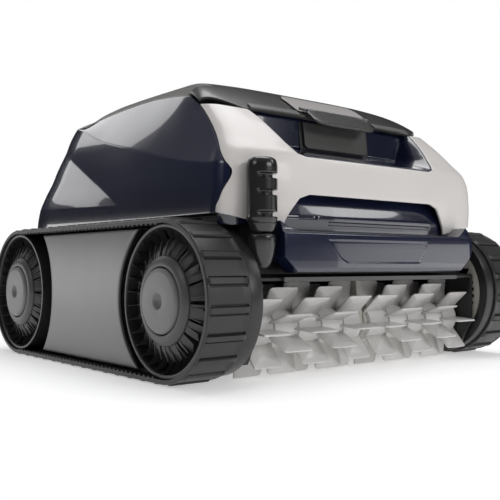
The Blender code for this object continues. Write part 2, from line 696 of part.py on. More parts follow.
side = part("side_panel_left", body(0), "navy",
            keep=[flat([side_area(SEAM / 2)], -FAR, -SIDE_REACH)], cut=[body(-SHELL_T)])
settle(side)
twin(side, "side_panel_right")


STRIP_START = FRONT + 57.5 * mm
STRIP_END = REAR + 14 * mm
strip_edge = [(y, high(share) + SEAM / 2) for y, share in SIDE_HIGH if y > STRIP_START]
strip_area = [(STRIP_START, high(0.809) + SEAM / 2)] + strip_edge
strip_area += [(STRIP_END, HEIGHT + 9 * mm), (STRIP_START, HEIGHT + 9 * mm)]
strip = part("frame_strip_left", body(0), "taupe",
             keep=[flat([strip_area], -FAR, -LID_HALF - SEAM)], cut=[body(-SHELL_T)])
settle(strip)
twin(strip, "frame_strip_right")


def nose(height):
    """The front profile's point at X = 0 and its outward normal, both as (y, z)."""
    share = (height - DECK_Z) / (HEIGHT - DECK_Z)
    for (s0, y0, _, _), (s1, y1, _, _) in zip(LEVELS, LEVELS[1:]):
        if s0 <= share <= s1:
            t = (share - s0) / (s1 - s0)
            run = Vector((y1 - y0, (s1 - s0) * (HEIGHT - DECK_Z) / mm)).normalized()
            return Vector((FRONT + (y0 + t * (y1 - y0)) * mm, height)), Vector((-run.y, run.x))
    return None


def across(low, low_z, high_z, half):
    """A block across the front of the body, between two heights."""
    return box((-half, low, low_z), (half, FRONT + 90 * mm, high_z))


AHEAD = FRONT - 90 * mm
HINGE_Z = high(0.925) - HINGE_R + 0.2 * mm
hinge = (0, LID_HINGE_Y, HINGE_Z)
lid_area = [(AHEAD, LID_EDGE_Z), (LID_HINGE_Y - 0.4 * mm, LID_EDGE_Z),
            (LID_HINGE_Y - 0.4 * mm, HEIGHT + 9 * mm), (AHEAD, HEIGHT + 9 * mm)]
ear_end = STRIP_START - SEAM
lid_half_plan = [(LID_HALF, REAR), (LID_HALF, ear_end), (BODY_HALF, ear_end), (BODY_HALF, AHEAD)]
lid = part("lid", body(0), "smoke",
           keep=[flat([lid_area], -FAR, FAR),
                 flat([lid_half_plan + lower(lid_half_plan)], 0, HEIGHT + 20 * mm, ALONG_Z),
                 flat([opening_area(SEAM / 2)], -FAR, FAR, ALONG_Y)],
           cut=[body(-SHELL_T)])
settle(lid)
boolean(lid, rod(HINGE_R, -LID_HALF + 2 * mm, LID_HALF - 2 * mm, hinge, ALONG_X, 20), "UNION")
boolean(lid, rod(PIN_R + FIT, -FAR, FAR, hinge, ALONG_X, 12), "DIFFERENCE")
settle(lid)
pivot(lid, hinge)
part("lid_hinge_pin", rod(PIN_R, -LID_HALF - 0.2 * mm, LID_HALF + 0.2 * mm, hinge, ALONG_X, 12),
     "motor")

# Latch grip, its pin and the pale plate that carries them
GRIP_LOW_Z = LID_EDGE_Z - 11.8 * mm
GRIP_PIN_R = 1.5 * mm
GRIP_BARREL_R = 3.6 * mm
PLATE_HALF = GRIP_HALF + 7.5 * mm
grip_at, grip_out = nose(LID_EDGE_Z + 6.42 * mm)
climb = -grip_out.x
grip_axis = grip_at + grip_out * (GRIP_BARREL_R + RUN)
grip_hinge = (0, grip_axis.x, grip_axis.y)
grip_skin = part("lid_grip", body(5.4 * mm), "smoke",
                 keep=[across(AHEAD, GRIP_LOW_Z, grip_at.y + 2 * climb * mm, GRIP_HALF - 2 * mm)],
                 cut=[body(RUN)])
settle(grip_skin)
boolean(grip_skin, rod(GRIP_BARREL_R, -GRIP_HALF + 2 * mm, GRIP_HALF - 2 * mm, grip_hinge,
                       ALONG_X, 16), "UNION")
boolean(grip_skin, rod(GRIP_PIN_R + FIT, -FAR, FAR, grip_hinge, ALONG_X, 10), "DIFFERENCE")
settle(grip_skin)
pivot(grip_skin, grip_hinge)
plate_skin = part("lid_plate", body(1.9 * mm), "light",
                  keep=[across(AHEAD, grip_at.y + 3.34 * climb * mm, high(0.882), PLATE_HALF)],
                  cut=[body(RUN)])
settle(plate_skin)
web_r = 1.9 * mm
web_at = grip_at + grip_out * (web_r + RUN) + Vector((grip_out.y, climb)) * 2.6 * mm
webs = merged(*[rod(web_r, x - 2.2 * mm, x + 2.2 * mm, (0, web_at.x, web_at.y), ALONG_X, 12)
                for x in (-GRIP_HALF - 2 * mm, GRIP_HALF + 2 * mm)])
ears = merged(*[rod(GRIP_BARREL_R, x - 2.2 * mm, x + 2.2 * mm, grip_hinge, ALONG_X, 16)
                for x in (-GRIP_HALF - 2 * mm, GRIP_HALF + 2 * mm)])
boolean(plate_skin, rod(GRIP_BARREL_R + RUN, -GRIP_HALF + 1.2 * mm, GRIP_HALF - 1.2 * mm,
                        grip_hinge, ALONG_X, 16), "DIFFERENCE")
boolean(plate_skin, ears, "UNION")
boolean(plate_skin, webs, "UNION")
boolean(plate_skin, rod(GRIP_PIN_R + FIT, -FAR, FAR, grip_hinge, ALONG_X, 10), "DIFFERENCE")
settle(plate_skin)
part("grip_pin", rod(GRIP_PIN_R, -GRIP_HALF - 4 * mm, GRIP_HALF + 4 * mm, grip_hinge,
                     ALONG_X, 10), "motor")
lip = part("lid_lip_left", body(2.2 * mm), "light",
           keep=[box((-LID_HALF + 8 * mm, AHEAD, LID_EDGE_Z),
                     (-PLATE_HALF - 2 * mm, FRONT + 90 * mm, LID_EDGE_Z + 5 * mm))],
           cut=[body(RUN)])
settle(lip)
twin(lip, "lid_lip_right")

# Upper panel with the finger recess
POCKET_HALF = GRIP_HALF + 3 * mm
POCKET_HIGH = LID_EDGE_Z - 4.2 * mm
POCKET_LOW = POCKET_HIGH - 41.6 * mm
POCKET_DEPTH = 30 * mm
panel = part("upper_panel", body(0), "navy",
             keep=[flat([opening_area(SEAM / 2)], -FAR, FAR, ALONG_Y),
                   box((-FAR, AHEAD, high(0.3)), (FAR, FRONT + 58 * mm, LID_EDGE_Z - SEAM))],
             cut=[body(-SHELL_T), across(AHEAD, POCKET_LOW, POCKET_HIGH, POCKET_HALF)])
pocket_back = FRONT - 3 * mm + POCKET_DEPTH
wall = 2 * mm
pocket = part("latch_recess", box((-POCKET_HALF - wall, AHEAD, POCKET_LOW - wall),
                                  (POCKET_HALF + wall, pocket_back, POCKET_HIGH + wall)),
              "black", keep=[body(-SHELL_T - FIT)],
              cut=[box((-POCKET_HALF, AHEAD - 9 * mm, POCKET_LOW),
                       (POCKET_HALF, pocket_back - wall, POCKET_HIGH))])

part("front_insert", body(-SHELL_T - FIT), "navy",
     keep=[across(AHEAD, high(-0.125), high(0.17), BODY_HALF - 59 * mm)], cut=[body(-SHELL_T - 2.6 * mm)])

# Rear cover with the outlet grille
GRILLE_HALF = 46 * mm
GRILLE_LOW = high(0.1224)
GRILLE_HIGH = high(0.4898)
BEHIND = REAR + 120 * mm
cover_start = LID_HINGE_Y + HINGE_R + RUN
lid_gap = LID_HALF + 0.2 * mm
cover = part("rear_cover", body(0), "gloss_black",
             keep=[box((-FAR, cover_start - 12 * mm, high(-0.025)), (FAR, BEHIND, HEIGHT + 9 * mm))],
             cut=[body(-SHELL_T),
                  flat([side_area(-SEAM / 2)], -FAR, -SIDE_REACH + SEAM),
                  flat([side_area(-SEAM / 2)], SIDE_REACH - SEAM, FAR),
                  box((-FAR, 0, high(0.55)), (-lid_gap, STRIP_END + SEAM, HEIGHT + 20 * mm)),
                  box((lid_gap, 0, high(0.55)), (FAR, STRIP_END + SEAM, HEIGHT + 20 * mm)),
                  box((-FAR, 0, high(0.3)), (FAR, cover_start, HEIGHT + 20 * mm)),
                  box((-GRILLE_HALF, REAR, GRILLE_LOW), (GRILLE_HALF, BEHIND, GRILLE_HIGH))])
slot_pitch = (GRILLE_HIGH - GRILLE_LOW) / 5
slots = [box((-GRILLE_HALF + 6 * mm, REAR, GRILLE_LOW + (i + 0.68) * slot_pitch),
             (GRILLE_HALF - 6 * mm, BEHIND, GRILLE_LOW + (i + 1.32) * slot_pitch))
         for i in range(4)]
part("outlet_grille", body(-0.3 * mm), "black",
     keep=[box((-GRILLE_HALF + FIT, REAR, GRILLE_LOW + FIT),
               (GRILLE_HALF - FIT, BEHIND, GRILLE_HIGH - FIT))],
     cut=[body(-2.7 * mm), *slots])

# Deck that the shell stands on
BASKET_HALF = CHEEK_IN - 66.9 * mm
BASKET_FRONT = FRONT + 43 * mm
BASKET_REAR = REAR - 68 * mm
basket_gap = 3 * mm
deck_half = BASKET_HALF + basket_gap
deck_hole = [(-deck_half, BASKET_FRONT - basket_gap), (deck_half, BASKET_FRONT - basket_gap),
             (deck_half, BASKET_REAR + basket_gap), (-deck_half, BASKET_REAR + basket_gap)]
deck_loop = [(x, y) for x, y, _ in plan(LEVELS[2], -SHELL_T - 1.3 * mm)]
deck_ahead = box((-FAR, AHEAD, 0), (FAR, TRAY_FRONT + FIT, HEIGHT))
part("chassis_deck", flat([deck_loop, deck_hole], TRAY_TOP + FIT, DECK_Z - FIT, ALONG_Z),
     "black", cut=[deck_ahead])

# Lower bumper
BUMPER_Z = DECK_Z - 58.05 * mm
bumper_section = [
    (-35.4, 35.2), (-54.0, 38.0), (-54.6, 48.0), (-57.6, 48.2), (-60.0, 37.5), (-66.0, 33.5),
    (-69.5, 22.0), (-68.5, 8.0), (-65.0, 0.0), (-35.4, 0.0), (-35.4, 3.0), (-61.8, 3.2),
    (-65.0, 9.0), (-66.0, 21.5), (-62.8, 31.0), (-56.5, 34.0), (-35.4, 31.8),
]
bumper_loop = [(FRONT + y * mm, BUMPER_Z + z * mm) for y, z in bumper_section]
bumper_right = [(0, -9), (127, -9), (127, 0), (139, 9), (146, 22), (146.5, 45.5), (141, 49),
                (121, 38.4), (0, 38.4)]
bumper_front = [(BUMPER_HALF * x / 146, BUMPER_Z + z * mm) for x, z in bumper_right]
bumper_front = bumper_front + [(-x, z) for x, z in bumper_front[-2:0:-1]]
part("front_bumper", flat([bumper_loop], -BUMPER_HALF - 9 * mm, BUMPER_HALF + 9 * mm), "navy",
     keep=[flat([bumper_front], -FAR, FAR, ALONG_Y)],
     cut=[box((-FAR, AHEAD, 0), (BOOT_X + BOOT_R + 1.6 * mm, FRONT, HEIGHT))])

# Cable strain relief
BOOT_LOW = DECK_Z - 22.4 * mm
BOOT_HIGH = BOOT_LOW + 67.4 * mm
groove = BOOT_R - 4.5 * mm
boot_profile = [(0, BOOT_HIGH), (BOOT_R - 4 * mm, BOOT_HIGH), (BOOT_R - 1.6 * mm, BOOT_HIGH - 3 * mm)]
for down in (17 * mm, 31.8 * mm, 51 * mm):
    middle = BOOT_HIGH - down
    boot_profile += [(BOOT_R - 0.6 * mm, middle + 2.7 * mm), (groove, middle + 2.4 * mm),
                     (groove, middle - 2.4 * mm), (BOOT_R - 0.4 * mm, middle - 2.7 * mm)]
boot_profile += [(BOOT_R, BOOT_LOW), (0, BOOT_LOW)]
foot = box((BOOT_X - 5 * mm, BOOT_Y, BOOT_LOW + 1 * mm),
           (BOOT_X + 5 * mm, TRAY_FRONT - FIT, BOOT_LOW + 8 * mm))
part("cable_boot", turned(boot_profile, 18, ALONG_Z, (BOOT_X, BOOT_Y, 0)), "gloss_black",
     join=[foot])
CONNECTOR_LOW = BOOT_LOW - 24.6 * mm
connector_profile = [
    (0, BOOT_LOW - FIT), (BOOT_R - 0.8 * mm, BOOT_LOW - FIT), (BOOT_R - 1.4 * mm, BOOT_LOW - 6 * mm),
    (BOOT_R - 4 * mm, BOOT_LOW - 14 * mm), (BOOT_R - 7.5 * mm, CONNECTOR_LOW + 3 * mm),
    (4 * mm, CONNECTOR_LOW), (0, CONNECTOR_LOW),
]
part("cable_connector", turned(connector_profile, 18, ALONG_Z, (BOOT_X, BOOT_Y, 0)),
     "gloss_black")

# ---------------------------------------------------------------- inside
BASKET_LOW = FLOOR_Z + 64 * mm
BASKET_HIGH = high(0.32)
basket_t = 2.5 * mm
windows = []
for i in range(4):
    y = BASKET_FRONT + (i + 0.5) * (BASKET_REAR - BASKET_FRONT) / 4
    windows.append(box((-FAR, y - 20 * mm, BASKET_LOW + 10 * mm),
                       (FAR, y + 20 * mm, DECK_Z - 12 * mm)))
basket = part("filter_basket", box((-BASKET_HALF, BASKET_FRONT, BASKET_LOW),
                                   (BASKET_HALF, BASKET_REAR, BASKET_HIGH)), "mesh",
              join=[box((-deck_half - 8 * mm, BASKET_FRONT - 11 * mm, DECK_Z),
                        (deck_half + 8 * mm, BASKET_REAR + 11 * mm, DECK_Z + 3 * mm))],
              cut=[box((-BASKET_HALF + basket_t, BASKET_FRONT + basket_t, BASKET_LOW + basket_t),
                       (BASKET_HALF - basket_t, BASKET_REAR - basket_t, HEIGHT)), *windows,
                   box((-INLET_HALF, INLET_Y - INLET_LEN / 2, 0),
                       (INLET_HALF, INLET_Y + INLET_LEN / 2, BASKET_LOW + 7 * mm))])

PUMP_Y = REAR - 13 * mm
PUMP_R = 28 * mm
PUMP_TOP = FLOOR_Z + 76 * mm
pump_profile = [
    (0, PUMP_TOP), (PUMP_R - 6 * mm, PUMP_TOP), (PUMP_R, PUMP_TOP - 6 * mm),
    (PUMP_R, FLOOR_Z + TRAY_T + 5 * mm),
    (PUMP_R - 4 * mm, FLOOR_Z + TRAY_T + FIT), (0, FLOOR_Z + TRAY_T + FIT),
]
part("pump_motor", turned(pump_profile, 24, ALONG_Z, (0, PUMP_Y, 0)), "motor")
blade_high = PUMP_TOP + 20 * mm
hub_low = PUMP_TOP + RUN
impeller_blades = []
for i in range(6):
    blade = flat([[(-1.2 * mm, 5 * mm), (1.2 * mm, 5 * mm), (1.2 * mm, 30 * mm),
                   (-1.2 * mm, 30 * mm)]], hub_low + 3 * mm, blade_high, ALONG_Z)
    blade.transform(Matrix.Rotation(2 * pi * i / 6, 4, "Z"))
    blade.transform(Matrix.Translation((0, PUMP_Y, 0)))
    impeller_blades.append(blade)
impeller = part("impeller", rod(9 * mm, hub_low, blade_high + 2 * mm, (0, PUMP_Y, 0), ALONG_Z, 20),
                "gear", join=[merged(*impeller_blades),
                              rod(31 * mm, hub_low + 1 * mm, hub_low + 4 * mm, (0, PUMP_Y, 0),
                                  ALONG_Z, 24)])
settle(impeller)
pivot(impeller, (0, PUMP_Y, hub_low))
control_half = BASKET_HALF - 6 * mm
part("control_box", box((-control_half, INLET_Y + INLET_LEN / 2 + 12 * mm, FLOOR_Z + TRAY_T + FIT),
                        (control_half, REAR - 67 * mm, BASKET_LOW - 6 * mm)), "board")
float_block = part("float_block_left",
                   box((-CHEEK_OUT + 2 * mm, FRONT + 79 * mm, DECK_Z),
                       (-deck_half - 13 * mm, REAR - 67 * mm, high(0.4626))), "mesh")
twin(float_block, "float_block_right")

# Water inlet with its flap
mouth_half = INLET_HALF + 9 * mm
part("inlet_mouth", box((-mouth_half, INLET_Y - INLET_LEN / 2 - 8 * mm, FLOOR_Z - 7 * mm),
                        (mouth_half, INLET_Y + INLET_LEN / 2 + 8 * mm, FLOOR_Z - FIT)), "black",
     cut=[box((-INLET_HALF, INLET_Y - INLET_LEN / 2, 0), (INLET_HALF, INLET_Y + INLET_LEN / 2, HEIGHT))])
FLAP_R = 2.2 * mm
flap_y = INLET_Y - INLET_LEN / 2 - 4 * mm
flap_z = FLOOR_Z + TRAY_T + FLAP_R + RUN
flap = part("inlet_flap", box((-INLET_HALF - 2 * mm, flap_y, flap_z - 1 * mm),
                              (INLET_HALF + 2 * mm, INLET_Y + INLET_LEN / 2 + 3 * mm, flap_z + 1 * mm)),
            "black", join=[rod(FLAP_R, -INLET_HALF - 9 * mm, INLET_HALF + 9 * mm,
                               (0, flap_y, flap_z), ALONG_X, 12)])
settle(flap)
pivot(flap, (0, flap_y, flap_z))
posts = []
for x in (-INLET_HALF - 6 * mm, INLET_HALF + 6 * mm):
    posts.append(box((x - 2 * mm, flap_y - 5 * mm, FLOOR_Z + 1 * mm),
                     (x + 2 * mm, flap_y + 5 * mm, flap_z + FLAP_R + 3 * mm)))
boolean(tray, merged(*posts), "UNION")
boolean(tray, rod(FLAP_R + FIT, -INLET_HALF - 12 * mm, INLET_HALF + 12 * mm,
                  (0, flap_y, flap_z), ALONG_X, 12), "DIFFERENCE")
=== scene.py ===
import json
import bmesh
import bpy
import numpy as np
from math import pi, radians
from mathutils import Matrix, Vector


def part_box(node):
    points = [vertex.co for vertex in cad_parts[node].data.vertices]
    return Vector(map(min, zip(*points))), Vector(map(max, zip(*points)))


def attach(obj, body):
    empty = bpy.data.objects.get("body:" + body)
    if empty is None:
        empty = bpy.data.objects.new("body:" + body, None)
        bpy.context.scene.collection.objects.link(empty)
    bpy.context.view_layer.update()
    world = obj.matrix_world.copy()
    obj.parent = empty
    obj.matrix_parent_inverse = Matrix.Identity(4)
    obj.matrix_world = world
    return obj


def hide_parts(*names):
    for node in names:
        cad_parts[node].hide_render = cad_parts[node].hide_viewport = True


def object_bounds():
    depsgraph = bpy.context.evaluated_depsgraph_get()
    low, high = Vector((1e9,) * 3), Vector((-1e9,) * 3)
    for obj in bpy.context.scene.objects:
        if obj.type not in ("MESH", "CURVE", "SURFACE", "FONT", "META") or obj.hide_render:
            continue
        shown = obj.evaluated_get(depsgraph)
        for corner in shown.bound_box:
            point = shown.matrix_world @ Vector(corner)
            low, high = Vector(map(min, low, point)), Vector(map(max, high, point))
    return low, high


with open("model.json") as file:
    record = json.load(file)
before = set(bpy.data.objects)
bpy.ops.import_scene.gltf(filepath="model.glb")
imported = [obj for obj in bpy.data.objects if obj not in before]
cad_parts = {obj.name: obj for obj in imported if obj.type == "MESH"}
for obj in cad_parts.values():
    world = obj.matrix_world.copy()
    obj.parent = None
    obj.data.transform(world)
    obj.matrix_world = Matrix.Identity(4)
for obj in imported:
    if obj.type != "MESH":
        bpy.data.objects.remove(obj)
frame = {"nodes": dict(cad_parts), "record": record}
cadLow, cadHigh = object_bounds()
mm = 0.001


def spanOf(node):
    low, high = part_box(node)
    return np.array(low), np.array(high)


def middleOf(node):
    low, high = spanOf(node)
    return (low + high) / 2


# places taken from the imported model
slotOf = {row["node"]: row["material_slot"] for row in frame["record"]["subparts"]}
axleZ = float(middleOf("axle_front_left")[2])
axleFront = float(middleOf("axle_front_left")[1])
axleRear = float(middleOf("axle_rear_left")[1])
beltLow, beltHigh = spanOf("track_belt_left")
trackHalf = float(-beltLow[0])
beltInner = float(-beltHigh[0])
deckZ = float(spanOf("chassis_deck")[1][2]) + 0.4 * mm
topZ = float(cadHigh[2])
bodyHalf = float(-spanOf("side_panel_left")[0][0])
lidHalf = float(-spanOf("lid_lip_left")[0][0]) + 8 * mm
brushMid = middleOf("brush_left")


# one layered material: broad patches of tone, and a fine grain that drives gloss and bump
def newMaterial(name, colour, rough, metal=0.0, coat=0.0, coatRough=0.03, spread=0.12, patchScale=14,
                grain=900, grainDepth=0.02, roughSpread=0.08, ior=1.5, more=None):
    made = bpy.data.materials.new(name)
    made.use_nodes = True
    tree = made.node_tree
    shader = tree.nodes["Principled BSDF"]
    place = tree.nodes.new("ShaderNodeTexCoord")
    patches = tree.nodes.new("ShaderNodeTexNoise")   # broad, faint change of tone
    patches.inputs["Scale"].default_value = patchScale
    patches.inputs["Detail"].default_value = 3
    grains = tree.nodes.new("ShaderNodeTexNoise")    # the mould's fine grain
    grains.inputs["Scale"].default_value = grain
    grains.inputs["Detail"].default_value = 2
    tone = tree.nodes.new("ShaderNodeValToRGB")
    low = [c * (1 - spread) for c in colour]
    high = [min(1, c * (1 + spread)) for c in colour]
    tone.color_ramp.elements[0].position = 0.3
    tone.color_ramp.elements[0].color = (*low, 1)
    tone.color_ramp.elements[1].position = 0.7
    tone.color_ramp.elements[1].color = (*high, 1)
    gloss = tree.nodes.new("ShaderNodeMapRange")
    gloss.inputs["To Min"].default_value = max(0.02, rough - roughSpread)
    gloss.inputs["To Max"].default_value = rough + roughSpread
    bump = tree.nodes.new("ShaderNodeBump")
    bump.inputs["Strength"].default_value = grainDepth
    bump.inputs["Distance"].default_value = 0.3 * mm
    link = tree.links.new
    link(place.outputs["Object"], patches.inputs["Vector"])
    link(place.outputs["Object"], grains.inputs["Vector"])
    link(patches.outputs["Fac"], tone.inputs["Fac"])
    link(tone.outputs["Color"], shader.inputs["Base Color"])
    link(grains.outputs["Fac"], gloss.inputs["Value"])
    link(gloss.outputs["Result"], shader.inputs["Roughness"])
    link(grains.outputs["Fac"], bump.inputs["Height"])
    link(bump.outputs["Normal"], shader.inputs["Normal"])
    shader.inputs["Metallic"].default_value = metal
    shader.inputs["IOR"].default_value = ior
    shader.inputs["Coat Weight"].default_value = coat
    shader.inputs["Coat Roughness"].default_value = coatRough
    for key, value in (more or {}).items():
        shader.inputs[key].default_value = value
    return made


looks = {
    "navy": newMaterial("navyLacquer", (0.008, 0.011, 0.034), 0.22, coat=1.0, spread=0.1, grainDepth=0.004,
                        grain=300, roughSpread=0.03, ior=1.55),
    "pearl": newMaterial("pearlLacquer", (0.76, 0.725, 0.70), 0.34, coat=0.3, spread=0.02, grainDepth=0.01,
                         grain=1400, roughSpread=0.05),
    "taupe": newMaterial("taupeSatin", (0.20, 0.195, 0.18), 0.32, spread=0.06, grainDepth=0.02),
    "smoke": newMaterial("smokedCover", (0.026, 0.026, 0.024), 0.30, coat=0.15, spread=0.2, grainDepth=0.006,
                         grain=240, roughSpread=0.03),
    "light": newMaterial("paleSatin", (0.46, 0.44, 0.425), 0.34, coat=0.3, spread=0.03, grainDepth=0.02),
    "black": newMaterial("blackPlastic", (0.014, 0.014, 0.014), 0.42, spread=0.2, grainDepth=0.08),
    "gloss_black": newMaterial("glossBlack", (0.016, 0.0155, 0.015), 0.24, coat=0.4, spread=0.2,
                               grainDepth=0.004, roughSpread=0.04),
    "belt": newMaterial("beltRubber", (0.022, 0.022, 0.0215), 0.42, spread=0.22, grainDepth=0.18, grain=700),
    "wheel": newMaterial("wheelBlack", (0.018, 0.018, 0.018), 0.32, spread=0.2, grainDepth=0.06),
    "cap": newMaterial("capGrey", (0.17, 0.17, 0.168), 0.40, spread=0.06, grainDepth=0.1, grain=1100),
    "plate": newMaterial("plateGrey", (0.18, 0.18, 0.178), 0.33, metal=0.3, spread=0.05,
                         grainDepth=0.012, grain=1000, roughSpread=0.03),
    "grey_bar": newMaterial("barGrey", (0.09, 0.09, 0.088), 0.36, spread=0.1, grainDepth=0.05),
    "paddle": newMaterial("paddleRubber", (0.64, 0.625, 0.61), 0.30, coat=0.2, spread=0.05, grainDepth=0.05),
    "ring": newMaterial("ringGrey", (0.065, 0.065, 0.066), 0.36, spread=0.08, grainDepth=0.06, grain=1100),
    "recess": newMaterial("recessGrey", (0.068, 0.068, 0.065), 0.38, spread=0.05, grainDepth=0.03),
    "lip": newMaterial("lipGrey", (0.13, 0.13, 0.125), 0.32, spread=0.05, grainDepth=0.02),
    "fin": newMaterial("finBlack", (0.040, 0.040, 0.041), 0.40, spread=0.1, grainDepth=0.05),
    "grip": newMaterial("gripGrey", (0.045, 0.045, 0.043), 0.28, spread=0.08, grainDepth=0.02),
    "gear": newMaterial("gearPlastic", (0.5, 0.48, 0.42), 0.45, spread=0.08, grainDepth=0.05),
    "motor": newMaterial("motorShell", (0.07, 0.07, 0.075), 0.35, metal=0.4, spread=0.1, grainDepth=0.05),
    "mesh": newMaterial("filterNet", (0.25, 0.27, 0.28), 0.6, spread=0.15, grainDepth=0.5, grain=420),
    "board": newMaterial("controlBox", (0.02, 0.07, 0.045), 0.5, spread=0.15, grainDepth=0.1),
    "pin": newMaterial("pinSteel", (0.45, 0.45, 0.46), 0.28, metal=0.9, spread=0.05, grainDepth=0.02),
}
for row in frame["record"]["subparts"]:
    node = frame["nodes"][row["node"]]
    node.data.materials.clear()
    node.data.materials.append(looks[row["material_slot"]])
print("materials ready")


# the quads of a grid of points, open or closed either way
def gridFaces(rows, cols, start, wrapRows, wrapCols):
    r, c = np.meshgrid(np.arange(rows - (not wrapRows)), np.arange(cols - (not wrapCols)), indexing="ij")
    r2, c2 = (r + 1) % rows, (c + 1) % cols
    corners = np.stack([r * cols + c, r * cols + c2, r2 * cols + c2, r2 * cols + c], -1)
    return corners.reshape(-1, 4) + start


# grids of points, each (points, wrapRows, wrapCols), become one welded mesh that rides on body
def build(name, grids, look, body, node, thick=0.0, bevel=0.0, sharp=38, outFrom=None, bevelSteps=2):
    vertices, faces, start = [], [], 0
    for points, wrapRows, wrapCols in grids:
        rows, cols = points.shape[:2]
        vertices.append(points.reshape(-1, 3))
        faces.append(gridFaces(rows, cols, start, wrapRows, wrapCols))
        start += rows * cols
    vertices, faces = np.concatenate(vertices), np.concatenate(faces)
    mesh = bpy.data.meshes.new(name)
    mesh.vertices.add(len(vertices))
    mesh.vertices.foreach_set("co", vertices.astype(np.float32).ravel())
    mesh.loops.add(faces.size)
    mesh.loops.foreach_set("vertex_index", faces.astype(np.int32).ravel())
    mesh.polygons.add(len(faces))
    mesh.polygons.foreach_set("loop_start", np.arange(0, faces.size, 4, dtype=np.int32))
    mesh.update(calc_edges=True)
    work = bmesh.new()
    work.from_mesh(mesh)
    bmesh.ops.remove_doubles(work, verts=work.verts, dist=2e-6)
    bmesh.ops.dissolve_degenerate(work, edges=work.edges, dist=1e-6)
    bmesh.ops.recalc_face_normals(work, faces=work.faces)
    if outFrom is not None:
        middle = np.array(outFrom)
        facing = sum(f.normal.dot(f.calc_center_median() - type(f.normal)(middle)) * f.calc_area()
                     for f in work.faces)
        if facing < 0:
            bmesh.ops.reverse_faces(work, faces=work.faces)
    work.to_mesh(mesh)
    work.free()
    mesh.shade_smooth()
    mesh.set_sharp_from_angle(angle=radians(sharp))
    mesh.materials.append(looks[look])
    made = bpy.data.objects.new(name, mesh)
    bpy.context.scene.collection.objects.link(made)
    if thick:
        wall = made.modifiers.new("wall", "SOLIDIFY")
        wall.thickness = thick
        wall.offset = -1
        wall.use_even_offset = True
    if bevel:
        edge = made.modifiers.new("edge", "BEVEL")
        edge.width = bevel
        edge.segments = bevelSteps
        edge.limit_method = "ANGLE"
        edge.angle_limit = radians(50)
        edge.harden_normals = False
    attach(made, body)
    if node:
        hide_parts(node)
    return made


# a curve through the knots: cubic between them, each slope the harmonic mean of its neighbours
def follow(knots, values):
    knots, values = np.array(knots, float), np.array(values, float)
    step = np.diff(knots)
    slope = np.diff(values) / step
    both = slope[:-1] * slope[1:]
    inner = np.where(both > 0, 2 * both / np.where(both > 0, slope[:-1] + slope[1:], 1), 0)
    m = np.concatenate([[slope[0]], inner, [slope[-1]]])

    def at(x):
        x = np.clip(x, knots[0], knots[-1])
        i = np.clip(np.searchsorted(knots, x, side="right") - 1, 0, len(step) - 1)
        t = (x - knots[i]) / step[i]
        return ((1 + 2 * t) * (1 - t) ** 2 * values[i] + t * (1 - t) ** 2 * step[i] * m[i]
                + t * t * (3 - 2 * t) * values[i + 1] + t * t * (t - 1) * step[i] * m[i + 1])
    return at


# points at the given shares of an open polyline's length
def along(points, shares):
    points = np.array(points, float)
    run = np.concatenate([[0], np.cumsum(np.linalg.norm(np.diff(points, axis=0), axis=1))])
    at = np.asarray(shares) * run[-1]
    return np.stack([np.interp(at, run, points[:, i]) for i in range(points.shape[1])], -1)


def ease(x):
    x = np.clip(x, 0, 1)
    return x * x * (3 - 2 * x)


# cosine and sine of an angle raised to a power with their signs kept: a superellipse's outline
def powered(angle, power):
    across, up = np.cos(angle), np.sin(angle)
    return np.sign(across) * np.abs(across) ** power, np.sign(up) * np.abs(up) ** power


# a profile of (radius, distance along X) turned about the X axis through at
def turned(profile, at, steps, side=1):
    profile = np.array(profile, float)
    a = np.linspace(0, 2 * pi, steps, endpoint=False)
    r, x = profile[:, :1], profile[:, 1:] * side
    points = np.stack([x + 0 * a, at[0] + r * np.cos(a), at[1] + r * np.sin(a)], -1)
    return points, False, True


# each inner corner of an open profile replaced by a short curve
def rounded(profile, radius, steps=3):
    profile = np.array(profile, float)
    out = [profile[:1]]
    for before, corner, after in zip(profile, profile[1:], profile[2:]):
        a, b = before - corner, after - corner
        la, lb = np.linalg.norm(a), np.linalg.norm(b)
        reach = min(radius, la * 0.45, lb * 0.45)
        p, q = corner + a / la * reach, corner + b / lb * reach
        t = np.linspace(0, 1, steps + 1)[:, None]
        out.append((1 - t) ** 2 * p + 2 * t * (1 - t) * corner + t * t * q)
    out.append(profile[-1:])
    return np.concatenate(out)


# two matching sheets joined by their four rims, as one closed plate
def closed(top, under):
    rims = [np.stack([top[0], under[0]]), np.stack([top[-1], under[-1]]),
            np.stack([top[:, 0], under[:, 0]]), np.stack([top[:, -1], under[:, -1]])]
    return [(g, False, False) for g in [top, under] + rims]


def mirror(points, side):
    out = points.copy()
    out[..., 0] *= side
    return out


# camera and studio
view = {"lens": 55.476, "shift": (-0.0656, 0.0021), "place": (-0.58617, -0.75199, 0.10667),
        "tilt": 91.06, "turn": -40.58}
cameraData = bpy.data.cameras.new("camera")
cameraData.sensor_width = 36
cameraData.lens = view["lens"]
cameraData.shift_x, cameraData.shift_y = view["shift"]
cameraData.clip_start = 0.01
camera = bpy.data.objects.new("camera", cameraData)
camera.location = view["place"]
camera.rotation_euler = (radians(view["tilt"]), 0, radians(view["turn"]))
bpy.context.scene.collection.objects.link(camera)
bpy.context.scene.camera = camera
bpy.context.scene.view_settings.view_transform = "Standard"

